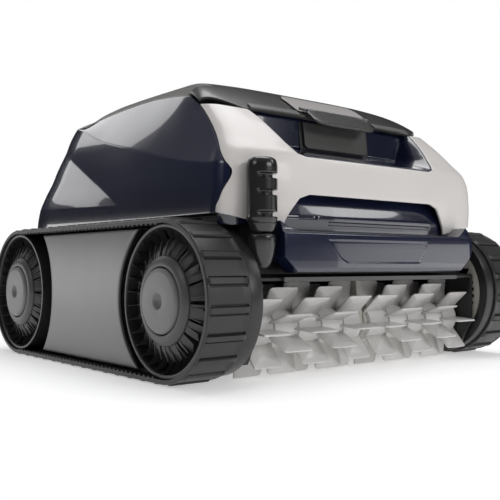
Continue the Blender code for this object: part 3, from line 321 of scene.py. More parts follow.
studio = {"sky": 0.6, "bottom": (0.035, 0.036, 0.04, 1), "top": (0.70, 0.71, 0.73, 1),
          "levels": ((0.42, 0.05), (0.62, 0.22), (0.8, 0.55)),
          "floor": (0.86, 0.86, 0.86), "floorHalf": 3.5, "floorGlow": 0.42}
world = bpy.data.worlds.new("studio")
world.use_nodes = True
bpy.context.scene.world = world
tree = world.node_tree
tree.nodes.clear()
out = tree.nodes.new("ShaderNodeOutputWorld")
mix = tree.nodes.new("ShaderNodeMixShader")
seen = tree.nodes.new("ShaderNodeLightPath")
white = tree.nodes.new("ShaderNodeBackground")
white.inputs["Color"].default_value = (1, 1, 1, 1)
white.inputs["Strength"].default_value = 1.0
around = tree.nodes.new("ShaderNodeBackground")
coord = tree.nodes.new("ShaderNodeTexCoord")
split = tree.nodes.new("ShaderNodeSeparateXYZ")
heights = tree.nodes.new("ShaderNodeValToRGB")
heights.color_ramp.elements[0].position = 0.0
heights.color_ramp.elements[0].color = studio["bottom"]
heights.color_ramp.elements[1].position = 1.0
heights.color_ramp.elements[1].color = studio["top"]
for position, level in studio["levels"]:
    heights.color_ramp.elements.new(position).color = (level, level, level * 1.05, 1)
around.inputs["Strength"].default_value = studio["sky"]
tree.links.new(coord.outputs["Generated"], split.inputs["Vector"])
tree.links.new(split.outputs["Z"], heights.inputs["Fac"])
tree.links.new(heights.outputs["Color"], around.inputs["Color"])
tree.links.new(seen.outputs["Is Camera Ray"], mix.inputs["Fac"])
tree.links.new(around.outputs["Background"], mix.inputs[1])
tree.links.new(white.outputs["Background"], mix.inputs[2])
tree.links.new(mix.outputs["Shader"], out.inputs["Surface"])


def softbox(name, place, aim, width, height, power):
    data = bpy.data.lights.new(name, "AREA")
    data.shape = "RECTANGLE"
    data.size = width
    data.size_y = height
    data.energy = power
    lamp = bpy.data.objects.new(name, data)
    lamp.location = place
    toward = type(lamp.location)(aim) - lamp.location
    lamp.rotation_euler = toward.to_track_quat("-Z", "Y").to_euler()
    bpy.context.scene.collection.objects.link(lamp)


# each box: place, aim, width, height, power
softboxes = {
    "overhead": ((0.3, 0.1, 1.9), (0, 0, 0.15), 1.6, 1.2, 18),
    "behindHigh": ((-0.37, 2.1, 1.65), (-0.18, 0.1, 0.25), 1.08, 1.1, 6),
    "behindLow": ((-0.86, 2.1, 0.905), (-0.18, 0.15, 0.2), 0.51, 0.36, 1.0),
    "frontFill": ((0.5, -2.2, 0.9), (0.05, -0.2, 0.12), 1.3, 0.7, 13),
    "insertGlow": ((1.29, -1.15, 1.27), (-0.06, -0.22, 0.16), 0.34, 0.5, 2.4),
    "plateGlow": ((-1.05, 1.45, 0.14), (-0.22, 0, 0.075), 0.8, 0.28, 1.6),
    "bumperGlow": ((1.62, -1.45, 0.16), (0, -0.23, 0.12), 0.8, 0.4, 1.3),
    "leftSide": ((-2.2, 0.1, 1.3), (-0.2, 0, 0.1), 0.9, 0.6, 4.5),
}
for name, values in softboxes.items():
    softbox(name, *values)

floorMesh = bpy.data.meshes.new("floor")
half = studio["floorHalf"]
floorCorners = [(-half, -half, 0), (half, -half, 0), (half, half, 0), (-half, half, 0)]
floorMesh.from_pydata(floorCorners, [], [(0, 1, 2, 3)])
floor = bpy.data.objects.new("floor", floorMesh)
bpy.context.scene.collection.objects.link(floor)
floorMesh.materials.append(newMaterial("paleFloor", studio["floor"], 0.6, spread=0.01, grainDepth=0.0,
                                       more={"Emission Color": (1, 1, 1, 1),
                                             "Emission Strength": studio["floorGlow"]}))
print("camera and studio ready")


# tracks
hub = {"rim": 69.0, "rimWidth": 3.2, "dish": 15.0, "ringOut": 40.8, "cap": 29.6, "capOut": 3.0,
       "flange": 71.3, "ribs": 30, "ribHalf": 0.45, "fins": 18, "finSteps": 6,
       "finReach": (-1.5, 4, 12.5, 14.5), "finDrop": (1.8, 3.4, 8.6, 11.0), "finThick": 1.6,
       "steps": 128, "capSteps": 96}


# rim, dish and flange turned about the axle; ribs and sloping fins are small plates set round it
def wheel(end, side, word, yAt):
    at = (yAt, axleZ)
    face = trackHalf - 3 * mm
    inner = beltInner - 0.6 * mm
    body = f"wheel_{end}_{word}_body"
    node = f"wheel_{end}_{word}"
    rim = hub["rim"] * mm
    deep = trackHalf - hub["dish"] * mm
    ringR = hub["ringOut"] * mm
    profile = rounded([
        (61.2 * mm, inner - 13.6 * mm), (hub["flange"] * mm, inner - 13.8 * mm),
        (hub["flange"] * mm, inner), (rim, inner), (rim, face),
        (rim - hub["rimWidth"] * mm, face), (rim - hub["rimWidth"] * mm - 0.6 * mm, face - 2.4 * mm),
        (rim - 5.2 * mm, deep), (ringR + 3 * mm, deep), (ringR - 2 * mm, deep + 2 * mm),
        (20 * mm, deep + 2 * mm), (20 * mm, inner), (61.2 * mm, inner)], 0.8 * mm)
    profile = np.vstack([profile, profile[:1]])
    dish = turned(profile, at, hub["steps"], side)
    # ribs: thin radial plates in the dish, from the rim down the slope to the ring
    k = hub["ribs"]
    a = (np.arange(k) + 0.5) * 2 * pi / k
    ribGrids = []
    ribHalf = hub["ribHalf"] * mm
    for angle in a:
        out = np.array([np.cos(angle), np.sin(angle)])
        across = np.array([-out[1], out[0]])
        loop = np.array([(rim - 4.2 * mm, face - 1.2 * mm), (rim - 4.6 * mm, deep - 0.5 * mm),
                         (ringR - 1 * mm, deep - 0.5 * mm), (ringR - 1 * mm, face - 1.6 * mm),
                         (ringR + 6 * mm, face - 3.4 * mm), (rim - 12 * mm, face - 6.5 * mm),
                         (rim - 7 * mm, face - 3.2 * mm)])
        pair = [np.column_stack([side * loop[:, 1],
                                 at[0] + loop[:, 0] * out[0] + s * ribHalf * across[0],
                                 at[1] + loop[:, 0] * out[1] + s * ribHalf * across[1]]) for s in (-1, 1)]
        middle = [np.repeat(p.mean(0)[None], len(p), 0) for p in pair]
        ribGrids.append((np.stack([middle[0], pair[0], pair[1], middle[1]]), False, True))
    build(f"{end}Wheel{word.title()}", [dish], "wheel", body, node, sharp=30)
    # fins: the paler sloping plates between the ring and the ribs, each a wedge-shaped tile
    k = hub["fins"]
    tiles = ribGrids
    for i in range(k):
        low, high = (i + 0.10) * 2 * pi / k, (i + 0.90) * 2 * pi / k
        angle = np.linspace(low, high, hub["finSteps"])[None]
        r = ringR + np.array(hub["finReach"])[:, None] * mm
        drop = np.array(hub["finDrop"])[:, None] * mm
        top = np.stack([side * (face - drop) + 0 * angle, at[0] + r * np.cos(angle),
                        at[1] + r * np.sin(angle)], -1)
        under = top.copy()
        under[:, :, 0] -= side * hub["finThick"] * mm
        tiles += closed(top, under)
    build(f"{end}WheelFins{word.title()}", tiles, "fin", body, None, sharp=30)
    # domed ring round the cap
    capR = hub["cap"] * mm
    ring = rounded([(capR + 0.9 * mm, deep), (capR + 0.9 * mm, trackHalf - 0.6 * mm),
                    (capR + 2.5 * mm, trackHalf - 0.2 * mm), (ringR - 4.5 * mm, trackHalf - 0.7 * mm),
                    (ringR - 0.5 * mm, trackHalf - 3.4 * mm), (ringR, trackHalf - 5 * mm),
                    (ringR - 0.6 * mm, trackHalf - 7 * mm), (ringR - 2 * mm, deep),
                    (capR + 0.9 * mm, deep)], 2.2 * mm, 4)
    build(f"{end}HubRing{word.title()}", [turned(ring, at, hub["steps"], side)], "ring", body, None,
          sharp=40)
    outX = trackHalf + hub["capOut"] * mm
    cap = rounded([(0, outX - 4.6 * mm), (4.4 * mm, outX - 4.2 * mm), (6.6 * mm, outX - 1.2 * mm),
                   (7.6 * mm, outX - 0.1 * mm), (16 * mm, outX), (capR - 3 * mm, outX - 0.5 * mm),
                   (capR - 0.6 * mm, outX - 1.6 * mm), (capR, outX - 3.4 * mm),
                   (capR, deep + 1 * mm), (0, deep + 1 * mm)], 1.6 * mm, 4)
    build(f"{end}HubCap{word.title()}", [turned(cap, at, hub["capSteps"], side)], "cap", body,
          f"hub_cap_{end}_{word}", sharp=40)


belt = {"thick": 3.1, "inner": 69.5, "pitches": 46, "bar": 2.4, "barHalf": 2.3, "pad": 0.5, "groove": 1.7,
        "rim": 1.1, "teeth": 3, "toothDeep": 2.2,
        "crowd": (0, 1.7, 2.3, 2.6, 2.9, 3.3, 4.1, 4.5, 4.9, 6.5, 8.5, 10.4),
        "outside": (0, 0.9, 2.6, 3.4, 4.6, 12, 24, 36, 41.6, 42.8, 44.4, 45.4),
        "inside": (45.4, 43, 41, 23, 5, 2.6, 0)}


# a loop round both wheels: height over the base is a bar every pitch, with a groove on each side
def trackBelt(side, word):
    base = (belt["inner"] + belt["thick"]) * mm
    flat = axleRear - axleFront
    whole = 2 * (flat + pi * base)
    pitch = whole / belt["pitches"]
    # samples crowd round the bar and its two grooves
    half = np.array(belt["crowd"]) * mm / pitch
    steps = np.concatenate([0.5 - half[::-1], 0.5 + half[1:]])
    s = (np.arange(belt["pitches"])[:, None] + steps[None]).ravel() * pitch
    phase = (s / pitch) % 1.0
    turnLen = pi * base
    s1, s2, s3 = flat, flat + turnLen, 2 * flat + turnLen
    angle = np.select([s < s1, s < s2, s < s3], [-pi / 2 + 0 * s, -pi / 2 + (s - s1) / base, pi / 2 + 0 * s],
                      pi / 2 + (s - s3) / base)
    centre = np.select([s < s1, s < s2, s < s3], [axleFront + s, axleRear + 0 * s, axleRear - (s - s2)],
                       axleFront + 0 * s)
    offset = np.abs(phase - 0.5) * pitch
    width = np.array(belt["outside"]) * mm
    inset = np.minimum(width, width[-1] - width)
    bar = 1 - ease((offset - belt["barHalf"] * mm) / (0.6 * mm))
    groove = ease((offset - 2.7 * mm) / (0.3 * mm)) * ease((4.6 * mm - offset) / (0.4 * mm))
    land = ease((inset - 2.6 * mm) / (0.8 * mm))
    lift = belt["pad"] * mm * land[None, :] - belt["groove"] * mm * groove[:, None] * (inset > 3 * mm)[None, :]
    shoulder = ease((inset - 0.3 * mm) / (1.5 * mm))
    lift = lift + (belt["bar"] - belt["pad"]) * mm * bar[:, None] * shoulder[None, :]
    onRim = (inset < 2.7 * mm) & (inset > 0.5 * mm)
    lift = lift + belt["rim"] * mm * onRim[None, :] * (1 - bar)[:, None]
    outer = base + lift
    innerCols = np.array(belt["inside"]) * mm
    tooth = (s / pitch * belt["teeth"]) % 1.0
    teeth = ease(1 - np.abs(tooth - 0.5) * 2 * 1.9)
    near = ease((innerCols.clip(0, 45 * mm) * -1 + 5.5 * mm) / (1 * mm))
    inner = belt["inner"] * mm + 0.0 * s[:, None] + 0 * innerCols[None, :]
    onFlat = ((s < s1 - 6 * mm) & (s > 6 * mm)) | ((s > s2 + 6 * mm) & (s < s3 - 6 * mm))
    inner = inner - belt["toothDeep"] * mm * teeth[:, None] * near[None, :] * onFlat[:, None]
    radius = np.concatenate([outer, inner], 1)
    columns = np.concatenate([width, innerCols])
    y = centre[:, None] + radius * np.cos(angle)[:, None]
    z = axleZ + radius * np.sin(angle)[:, None]
    x = side * (trackHalf - 0.2 * mm - columns)[None, :] + 0 * y
    build(f"trackBelt{word.title()}", [(np.stack([x, y, z], -1), True, True)], "belt", "chassis",
          f"track_belt_{word}", sharp=32)


sideSheet = {"gap": 17, "thick": 3.0, "outIn": 6.0, "low": 8.9, "swell": 3.0, "blockGrow": 1.2,
             "blockIn": (4.6, 29)}


# a flat sheet whose two ends are arcs round the wheels, over a darker block of the same outline
def sidePlate(side, word):
    z0 = sideSheet["low"] * mm
    z = np.linspace(z0, 2 * axleZ - z0, 61)
    reach = (hub["rim"] + sideSheet["gap"]) * mm
    bow = np.sqrt(reach ** 2 - (z - axleZ) ** 2)
    front, rear = axleFront + bow, axleRear - bow
    u = np.linspace(0, 1, 41)[:, None]
    y = front[None] * (1 - u) + rear[None] * u
    face = trackHalf - sideSheet["outIn"] * mm
    # a faint swell across the middle, which catches the light as a band
    swell = sideSheet["swell"] * mm * (1 - ((z - axleZ) / (axleZ - z0)) ** 2)
    x = side * (face - sideSheet["swell"] * mm + swell)[None] + 0 * y
    top = np.stack([x, y, z[None] + 0 * y], -1)
    build(f"sidePlate{word.title()}", [(top, False, False)], "plate", "chassis", f"side_plate_{word}",
          thick=sideSheet["thick"] * mm, bevel=0.7 * mm, outFrom=(0, 0, axleZ))
    grow = sideSheet["blockGrow"] * mm
    blockFace, blockBack = (face - depth * mm for depth in sideSheet["blockIn"])
    front, rear = front - grow * 0.4, rear + grow * 0.4
    y = front[None] * (1 - u) + rear[None] * u
    outer = np.stack([side * blockFace + 0 * y, y, z[None] + 0 * y], -1)
    innerSheet = outer.copy()
    innerSheet[:, :, 0] = side * blockBack
    build(f"sidePlateBlock{word.title()}", closed(outer, innerSheet), "gloss_black", "chassis", None, sharp=30)


for side, word in ((-1, "left"), (1, "right")):
    for end, yAt in (("front", axleFront), ("rear", axleRear)):
        wheel(end, side, word, yAt)
    trackBelt(side, word)
    sidePlate(side, word)
print("tracks built")


# brushes
brush = {"core": 19.5, "tip": 44.3, "paddles": 8, "columns": 5, "thick": 1.7, "gap": 4.0, "end": 155.9,
         "cornerPower": 0.2, "rimPower": 0.35, "lean": 0.10}


# a core with collars; every paddle is one flat superellipse plate, copied round and along it
def brushHalf(side, word):
    start, stop = brush["gap"] * mm, brush["end"] * mm
    y0, z0 = float(brushMid[1]), float(brushMid[2])
    pitch = (stop - start) / brush["columns"]
    core = brush["core"] * mm
    profile = [(0, start), (core - 4 * mm, start), (core - 4 * mm, start + 2.5 * mm)]
    for i in range(brush["columns"]):
        a, b = start + i * pitch + 2.5 * mm, start + (i + 1) * pitch - 2.5 * mm
        profile += [(core - 1.6 * mm, a), (core, a + 0.8 * mm), (core, b - 0.8 * mm), (core - 1.6 * mm, b)]
    profile += [(core - 4 * mm, stop - 2.5 * mm), (core - 4 * mm, stop), (0, stop)]
    grids = [turned(profile, (y0, z0), 48, side)]
    # plate: rows go over its thickness, columns round its outline
    phi = np.linspace(-pi / 2, pi / 2, 7)[:, None]
    theta = np.linspace(0, 2 * pi, 24, endpoint=False)[None]
    ring = powered(theta, brush["cornerPower"])
    shrink, rise = np.abs(np.cos(phi)) ** brush["rimPower"], powered(phi, brush["rimPower"])[1]
    low, high = core - 5 * mm, brush["tip"] * mm
    radial = (low + high) / 2 + (high - low) / 2 * (ring[1] * (shrink * 0.06 + 0.94 * (shrink > 0.01)))
    wide = (pitch + 5.0 * mm) / 2 * (ring[0] * (shrink * 0.05 + 0.95 * (shrink > 0.01)))
    taper = 1.0 - 0.25 * (radial - low) / (high - low)
    flat = brush["thick"] * mm / 2 * 1.3 * rise * taper + 0 * theta
    for i in range(brush["columns"]):
        middle = start + (i + 0.5) * pitch
        for k in range(brush["paddles"]):
            a = (k + 0.5 * (i % 2)) * 2 * pi / brush["paddles"]
            lean = brush["lean"] * ((radial - low) / (high - low)) ** 2 * core
            y = y0 + radial * np.cos(a) - (flat + lean) * np.sin(a)
            z = z0 + radial * np.sin(a) + (flat + lean) * np.cos(a)
            reachX = np.clip(middle + wide, start + 0.6 * mm, stop - 0.6 * mm)
            grids.append((np.stack([side * reachX, y, z], -1), False, True))
    build(f"brush{word.title()}", grids, "paddle", f"brush_{word}_body", f"brush_{word}", sharp=50)


for side, word in ((-1, "left"), (1, "right")):
    brushHalf(side, word)
print("brushes built")

# shell form: heights as shares from deck to top, front and rear outlines in mm from the axles
skirtHigh = 147
levels = np.array([
    (-0.395, -48.5, 62), (-0.14, -46.3, 68.5), (-0.03, -47.8, 69), (0.12, -50, 65), (0.25, -49.5, 56),
    (0.352, -47, 45), (0.46, -34, 37), (0.58, -17.5, 24.5), (0.706, 4, 11), (0.823, 27, -11),
    (0.925, 56, -42), (0.975, 82, -70), (1.0, 122, -104)])
frontOf = follow(levels[:, 0], axleFront / mm + levels[:, 1])
rearOf = follow(levels[:, 0], axleRear / mm + levels[:, 2])
narrowMain = follow([-.4, -.14, -.03, .12, .3, .46, .6, .8, 1], [4, 2, 0, 1.5, 4, 5.8, 7.2, 11, 16])
narrowTop = follow([-.4, -.14, -.03, .12, .25, .352, .46, .58, .706, .823, .925, .975, 1],
                   [4, 2, 0, 2, 5.6, 8.2, 11, 15, 20, 29, 45, 66, 98])
creaseOf = follow([-175, -131.3, -48.6, 40.9, 138.2, 190], [.287, .331, .461, .603, .793, .80])
sideTop = follow([-212, -109, -78, -20, 40, 128, 151, 177, 206],
                 [.78, .806, .833, .862, .850, .786, .72, .56, .26])
# the front's bow: share of the half width and how far it lies back there (mm); then the corner
bowWide, bowBack = [0, .3, .56, .8, .93], [0, 0, 1, 5, 9.5]
cornerAt = bowWide + [1.0, 1.1, 2.1]
cornerWide = follow(cornerAt, bowWide + [.985, 1, 1])
cornerBack = follow(cornerAt, bowBack + [17, 28, 128])
rearBack, rearShare = [0, 3, 14, 38, 74, 150], [.42, .78, .935, .982, .998, 1]
rearWide = follow(rearBack, rearShare)


# share of the way from the deck to the top, as a height; below the deck a fixed skirt scale
def heightOf(share):
    return np.where(share > 0, deckZ + share * (topZ - deckZ), deckZ + share * skirtHigh * mm)


def shareOf(z):
    return np.where(z > deckZ, (z - deckZ) / (topZ - deckZ), (z - deckZ) / (skirtHigh * mm))


# zero below, x above, with a rounded start
def soft(x, reach):
    return 0.5 * (x + np.sqrt(x * x + reach * reach))


facets = {"lean": 0.05, "leanFrom": -20, "leanSoft": 25, "ridge": 0.04, "ridgeY": -95, "ridgeShare": 0.762,
          "ridgeRun": 34 / 0.275, "triangle": 0.15, "triangleY": -12.6}


# how far the side stands in (mm): the lower facet, the upper facet above the crease, ridge and triangle
def narrowOf(y, v):
    lean = facets["lean"] * soft(y - facets["leanFrom"], facets["leanSoft"])
    low = narrowMain(v) + lean
    crease, top = creaseOf(y), sideTop(y)
    t = np.clip((v - crease) / np.maximum(top - crease, 0.02), 0, 1)
    startIn = narrowMain(crease) + lean
    upper = startIn * (1 - t) + narrowTop(top) * t
    upper = np.where(v > top, narrowTop(v), upper)
    facet = np.where(v > crease, upper, low)
    fade = np.clip((215 - y) / 50, 0, 1)
    side = fade * facet + (1 - fade) * np.where(v > crease, np.maximum(low, narrowTop(v)), low)
    ridgeY = facets["ridgeY"] + (facets["ridgeShare"] - v) * facets["ridgeRun"]
    side = side + facets["ridge"] * soft(ridgeY - y, 3) * np.clip((v - crease) / 0.35, 0, 1)
    # rear triangle: behind and below the line from its front corner to its apex it leans outwards
    behind = y - facets["triangleY"]
    base = 0.084 + behind * 0.045 / 250.6
    z = np.maximum(v, base) * skirtHigh
    across = (behind * 65.9 - (z - 12.3) * 147.1) / 161.2
    return side - facets["triangle"] * soft(np.minimum(across, 90), 2) * np.clip(behind / 4, 0, 1)


def halfOf(y, v):
    return bodyHalf - narrowOf(y, v) * mm


# front half: s runs over the front from the middle (0) round the corner (1) to the side (2.1)
def frontPoint(s, v):
    y = (frontOf(v) + cornerBack(s)) * mm
    return np.stack([cornerWide(s) * halfOf(y / mm, v), y, heightOf(v)], -1)


# the s at which the front reaches a half-width x (mm), with the width taken behind the corner
def cornerFor(x, v):
    half = halfOf(frontOf(v) + 17, v) / mm
    fine = np.linspace(0, 1.1, 221)
    return np.interp(np.clip(x / half, 0, 1), cornerWide(fine), fine)


# the s at which the front's corner has run back to y (mm)
def cornerForY(y, v):
    fine = np.linspace(0.3, 2.1, 361)
    back = cornerBack(fine)
    return np.interp(y - frontOf(v), back, fine)


# a point of the side by its y (mm): the corners at both ends take the width in
def sidePoint(y, v):
    ahead = y - frontOf(v)
    fine = np.linspace(0.3, 2.1, 361)
    q = cornerWide(np.interp(ahead, cornerBack(fine), fine))
    q = q * rearWide(np.clip(rearOf(v) - y, 0, 150))
    return np.stack([q * halfOf(y, v), y * mm, heightOf(v)], -1)


# front hood: two side columns and the band between them
armEdgeY = follow([-.14, -.025, .06, .22, .36, .48, .63, .723, .806],
                  [axleFront / mm + d for d in (-25, -27, -31, -38.5, -24, -8.5, 15, 33, 53)])
openingX = follow([.357, .364, .388, .52, .70, .79, .85, 1.2], [92, 98.5, 102.5, 112, 122.6, 136, 148, 152])
windowX = follow([-.2, -.1, .055, .095, .108], [121, 119, 105, 99, 90])
hoodForm = {"low": -.115, "high": .697, "band": (.108, .357), "bandInner": 90, "outerLift": .026,
            "footLift": .09, "wall": 3.0, "edge": 1.7}


# each arm runs from the opening's edge to the side panel's at every height; the band joins the two
def hood():
    bandLow, bandHigh = hoodForm["band"]
    rows = np.concatenate([np.linspace(hoodForm["low"], bandLow, 9), np.linspace(.13, .34, 9),
                           [bandHigh], np.linspace(.372, hoodForm["high"], 24)])
    t = np.linspace(0, 1, 25)
    grids = []
    v = rows[:, None] + 0 * t[None]
    blend = np.clip((rows - bandLow) / (bandHigh - bandLow), 0, 1)
    innerX = np.select([rows <= bandLow, rows < bandHigh], [windowX(rows), hoodForm["bandInner"] + 2 * blend],
                       openingX(rows))
    sIn = cornerFor(innerX, rows)
    sOut = cornerForY(armEdgeY(rows), rows)
    s = sIn[:, None] + (sOut - sIn)[:, None] * t[None]
    # the arm's foot rises outwards, and so does its head
    foot = hoodForm["footLift"] * t[None] * np.clip((.05 - v) / .165, 0, 1)
    v = v + foot + hoodForm["outerLift"] * t[None] * ease((v - .36) / .337)
    column = frontPoint(s, v)
    for side in (-1, 1):
        grids.append((mirror(column, side), False, False))
    middle = (rows >= bandLow) & (rows <= bandHigh)
    bandRows = rows[middle]
    x = np.linspace(-1, 1, 37)
    sBand = sIn[middle][:, None] * np.abs(x)[None]
    band = frontPoint(sBand, bandRows[:, None] + 0 * x[None])
    band[..., 0] *= np.sign(x)[None]
    grids.append((band, False, False))
    build("frontHood", grids, "pearl", "chassis", "front_hood", thick=hoodForm["wall"] * mm,
          bevel=hoodForm["edge"] * mm, outFrom=(0, 0, 0.15), sharp=40, bevelSteps=3)


hood()

# side panels
panelForm = {"low": -.03, "frontGap": 1.0, "topGap": .004, "rear": 206, "wall": 3.0, "edge": 0.7,
             "skirtIn": 4.2, "skirtBack": 2.5}


# rows go up from the foot to the top line, columns back from the arm; both lie on the shell's side
def sidePanel(side, word):
    low = panelForm["low"]
    rows = np.linspace(0, 1, 110)[:, None]
    share = np.linspace(0, 1, 220)[None]
    v = low + rows * (.8 - low) + 0 * share
    edge = armEdgeY(v) + panelForm["frontGap"]
    # columns start at the arm's edge, so height and place depend on each other: a few rounds settle both
    y = edge + (panelForm["rear"] - edge) * share
    vTop = sideTop(y) - panelForm["topGap"]
    for _ in range(3):
        v = low + rows * (vTop - low)
        edge = armEdgeY(v) + panelForm["frontGap"]
        y = edge + (panelForm["rear"] - edge) * share
        vTop = sideTop(y) - panelForm["topGap"]
    v = low + rows * (vTop - low)
    skirtV = np.linspace(-.10, -.02, 8)[:, None]
    skirtT = np.linspace(0, 1, 16)[None]
    # the skirt goes on under the arm's foot, a little inside it
    start, stop = cornerForY(axleFront / mm - 26, skirtV[:, 0]), cornerFor(147.0, skirtV[:, 0])
    skirt = frontPoint(start[:, None] * (1 - skirtT) + stop[:, None] * skirtT, skirtV + 0 * skirtT)
    skirt[..., 0] -= panelForm["skirtIn"] * mm
    skirt[..., 1] += panelForm["skirtBack"] * mm
    build(f"sidePanel{word.title()}", [(mirror(sidePoint(y, v), side), False, False),
                                       (mirror(skirt, side), False, False)], "navy", "chassis",
          f"side_panel_{word}", thick=panelForm["wall"] * mm, bevel=panelForm["edge"] * mm,
          outFrom=(0, 0, 0.15), sharp=60)


for side, word in ((-1, "left"), (1, "right")):
    sidePanel(side, word)
print("hood and side panels built")

# front insert and bumper
insertForm = {"half": 125.5, "low": -.122, "high": .128, "in": 3.6, "slotDepth": 2.2,
              "slots": ((-116, -72, 153, 1.1), (-60, 98, 147.5, 1.3))}   # from, to, height, half height


# the shell's front moved in; slots are narrow dips at a fixed height over a span of x
def frontInsert():
    x = np.linspace(-1, 1, 281)[None] * insertForm["half"]
    v = np.linspace(insertForm["low"], insertForm["high"], 90)[:, None]
    q = np.clip(np.abs(x) / 172, 0, 1)
    back = np.interp(q, bowWide, bowBack)
    z = heightOf(v) / mm + 0 * x
    dip = 0
    for x0, x1, zc, halfHigh in insertForm["slots"]:
        dip = dip + ease(1 - (np.abs(z - zc) - halfHigh) / 0.8) * ease((x - x0) / 5) * ease((x1 - x) / 5)
    lean = 0.5 * soft(z - 153.5, 1.5)
    y = frontOf(v) + back + insertForm["in"] + lean + insertForm["slotDepth"] * dip
    points = np.stack([x * mm + 0 * y, y * mm, z * mm], -1)
    build("frontInsert", [(points, False, False)], "navy", "chassis", "front_insert", thick=2.4 * mm,
          bevel=0.5 * mm, outFrom=(0, 0.5, 0.15))


frontInsert()

bumperForm = {"z": 99.95, "left": -136.9, "right": 146.5, "step": 0.9,
              "high": (0, 1.2, 4, 22, 35.5, 37.2, 38.6, 44, 50),
              "ahead": (-66, -68.2, -69.2, -69.5, -68.6, -67.4, -65.8, -63.5, -61.5),
              "footX": (-95, -85, -66.6, -57.9, 48.6, 63.2, 75), "footZ": (40, 32.2, 12.6, 8.4, 8.5, 32.4, 44)}


# a bowed bar: y over height from its section, its lower ends cut off at a slant
def frontBumper():
    x = np.concatenate([np.linspace(bumperForm["left"], -120, 14), np.linspace(-118, 118, 340),
                        np.linspace(120, bumperForm["right"], 24)])[None]
    low = np.interp(np.abs(x), [0, 120, 137, 146.5], [0, 0, 14.5, 25])
    top = np.interp(np.abs(x), [0, 119, 124, 139, 141, 146.5], [38.4, 38.4, 39.6, 48.4, 48.8, 46])
    r = np.concatenate([np.linspace(0, .8, 64), np.linspace(.815, 1, 16)])[:, None]
    z = low + (top - low) * r
    y = follow(bumperForm["high"], bumperForm["ahead"])(z)
    y = y + 3 * ease((np.abs(x) - 134) / 13) ** 2 + 1.6 * (x / 140) ** 2
    foot = np.interp(x, bumperForm["footX"], bumperForm["footZ"])
    inside = ease((z - foot) / 1.5) * ease((31 - z) / 1.2)
    y = y + bumperForm["step"] * inside
    points = np.stack([x * mm + 0 * y, axleFront + y * mm, (z + bumperForm["z"]) * mm], -1)
    back = points.copy()
    back[:, :, 1] = axleFront - (48 - 3 * r) * mm
    back[:, :, 1] = np.maximum(back[:, :, 1], points[:, :, 1] + 3 * mm)
    build("frontBumper", closed(points, back), "navy", "chassis", "front_bumper", bevel=0.6 * mm, sharp=35)


frontBumper()

# lid
lidForm = {"gap": 0.7, "backY": 119.5, "earHalf": 162.5, "earBack": 157.0, "corner": (-500, -158.4, -129.6),
           "wall": 3.0, "edgeShare": .6993}


# the shell's height over a point of the plan, by halving the share until its outline meets the point
def topHeight(x, y):
    low, high = np.zeros_like(x + y), np.ones_like(x + y)
    for _ in range(26):
        v = (low + high) / 2
        q = np.clip(np.abs(x) / (bodyHalf / mm - narrowTop(v)), 0, 1.2)
        fine = np.linspace(0, 1.1, 221)
        ahead = frontOf(v) + cornerBack(np.interp(q, cornerWide(fine), fine))
        behind = rearOf(v) - np.interp(q, rearShare, rearBack)
        inside = (q <= 1) & (y >= ahead) & (y <= behind)
        low, high = np.where(inside, v, low), np.where(inside, high, v)
    return heightOf(low) / mm


frontEdgeY = frontOf(lidForm["edgeShare"])


# behind the ears' line the lid is a plain strip; ahead of it it fills the hood's opening
def lidSheet():
    split = axleFront / mm + 56.8
    c = np.linspace(-1, 1, 141)[None]
    t = np.linspace(0, 1, 36)[:, None]
    # front border: the hood's opening, then the heads of its arms; rear border: a straight line
    x = c * (lidForm["earHalf"] - lidForm["gap"])
    q = np.clip(np.abs(x) / 165, 0, .95)
    border = frontEdgeY + 0.3 + np.interp(q, bowWide, bowBack)
    corner = np.interp(np.abs(x), [0, 121, lidForm["earHalf"]], lidForm["corner"])
    border = np.maximum(border, corner)
    y = border * (1 - t) + split * t
    x = x * (1 - t * (1 - lidForm["earBack"] / lidForm["earHalf"]))
    ears = np.stack([x, y, topHeight(x, y)], -1) * mm
    t = np.linspace(0, 1, 120)[:, None]
    x = c * (lidHalf / mm - 0.2) + 0 * t
    y = split + (lidForm["backY"] - split) * t + 0 * c
    main = np.stack([x, y, topHeight(x, y)], -1) * mm
    build("lid", [(ears, False, False), (main, False, False)], "smoke", "lid_body", "lid",
          thick=lidForm["wall"] * mm, bevel=0.6 * mm, outFrom=(0, 0, 0.1))


lidSheet()

# frame strips
stripForm = {"inner": 0.9, "groove": 0.9, "bulge": 1.6, "start": 57.6, "end": 13.8, "wall": 3}


# rows run along, columns from the side panel's edge up to the lid, with a shallow seam near the lid
def frameStrip(side, word):
    y = np.linspace(axleFront / mm + stripForm["start"], axleRear / mm + stripForm["end"], 160)[:, None]
    low = sidePoint(y[:, 0], sideTop(y[:, 0]))[:, None]
    x = lidHalf / mm + stripForm["inner"] + 0 * y
    high = np.stack([x, y, topHeight(x, y)], -1) * mm
    c = np.concatenate([np.linspace(0, .56, 8), [.59, .62, .65], np.linspace(.68, 1, 6)])[None, :, None]
    flat = low * (1 - c) + high * c
    groove = stripForm["groove"] * mm * ease(1 - np.abs(c[..., 0] - .62) / .035)
    bulge = stripForm["bulge"] * mm * np.sin(pi * c[..., 0]) - groove
    flat[..., 2] += bulge * 0.8
    flat[..., 0] += bulge * 0.6
    build(f"frameStrip{word.title()}", [(mirror(flat, side), False, False)], "taupe", "chassis",
          f"frame_strip_{word}", thick=stripForm["wall"] * mm, bevel=0.5 * mm, outFrom=(0, 0, 0.1))


for side, word in ((-1, "left"), (1, "right")):
    frameStrip(side, word)

# upper panel: a shallow deck that turns up to a wall, with the latch's frame and plate before the wall
deck = {"blend": 9, "wall": 1.6, "shares": (.36, .365, .47, .485, .7), "rear": (-211, -209.5, -158, -155, -153)}


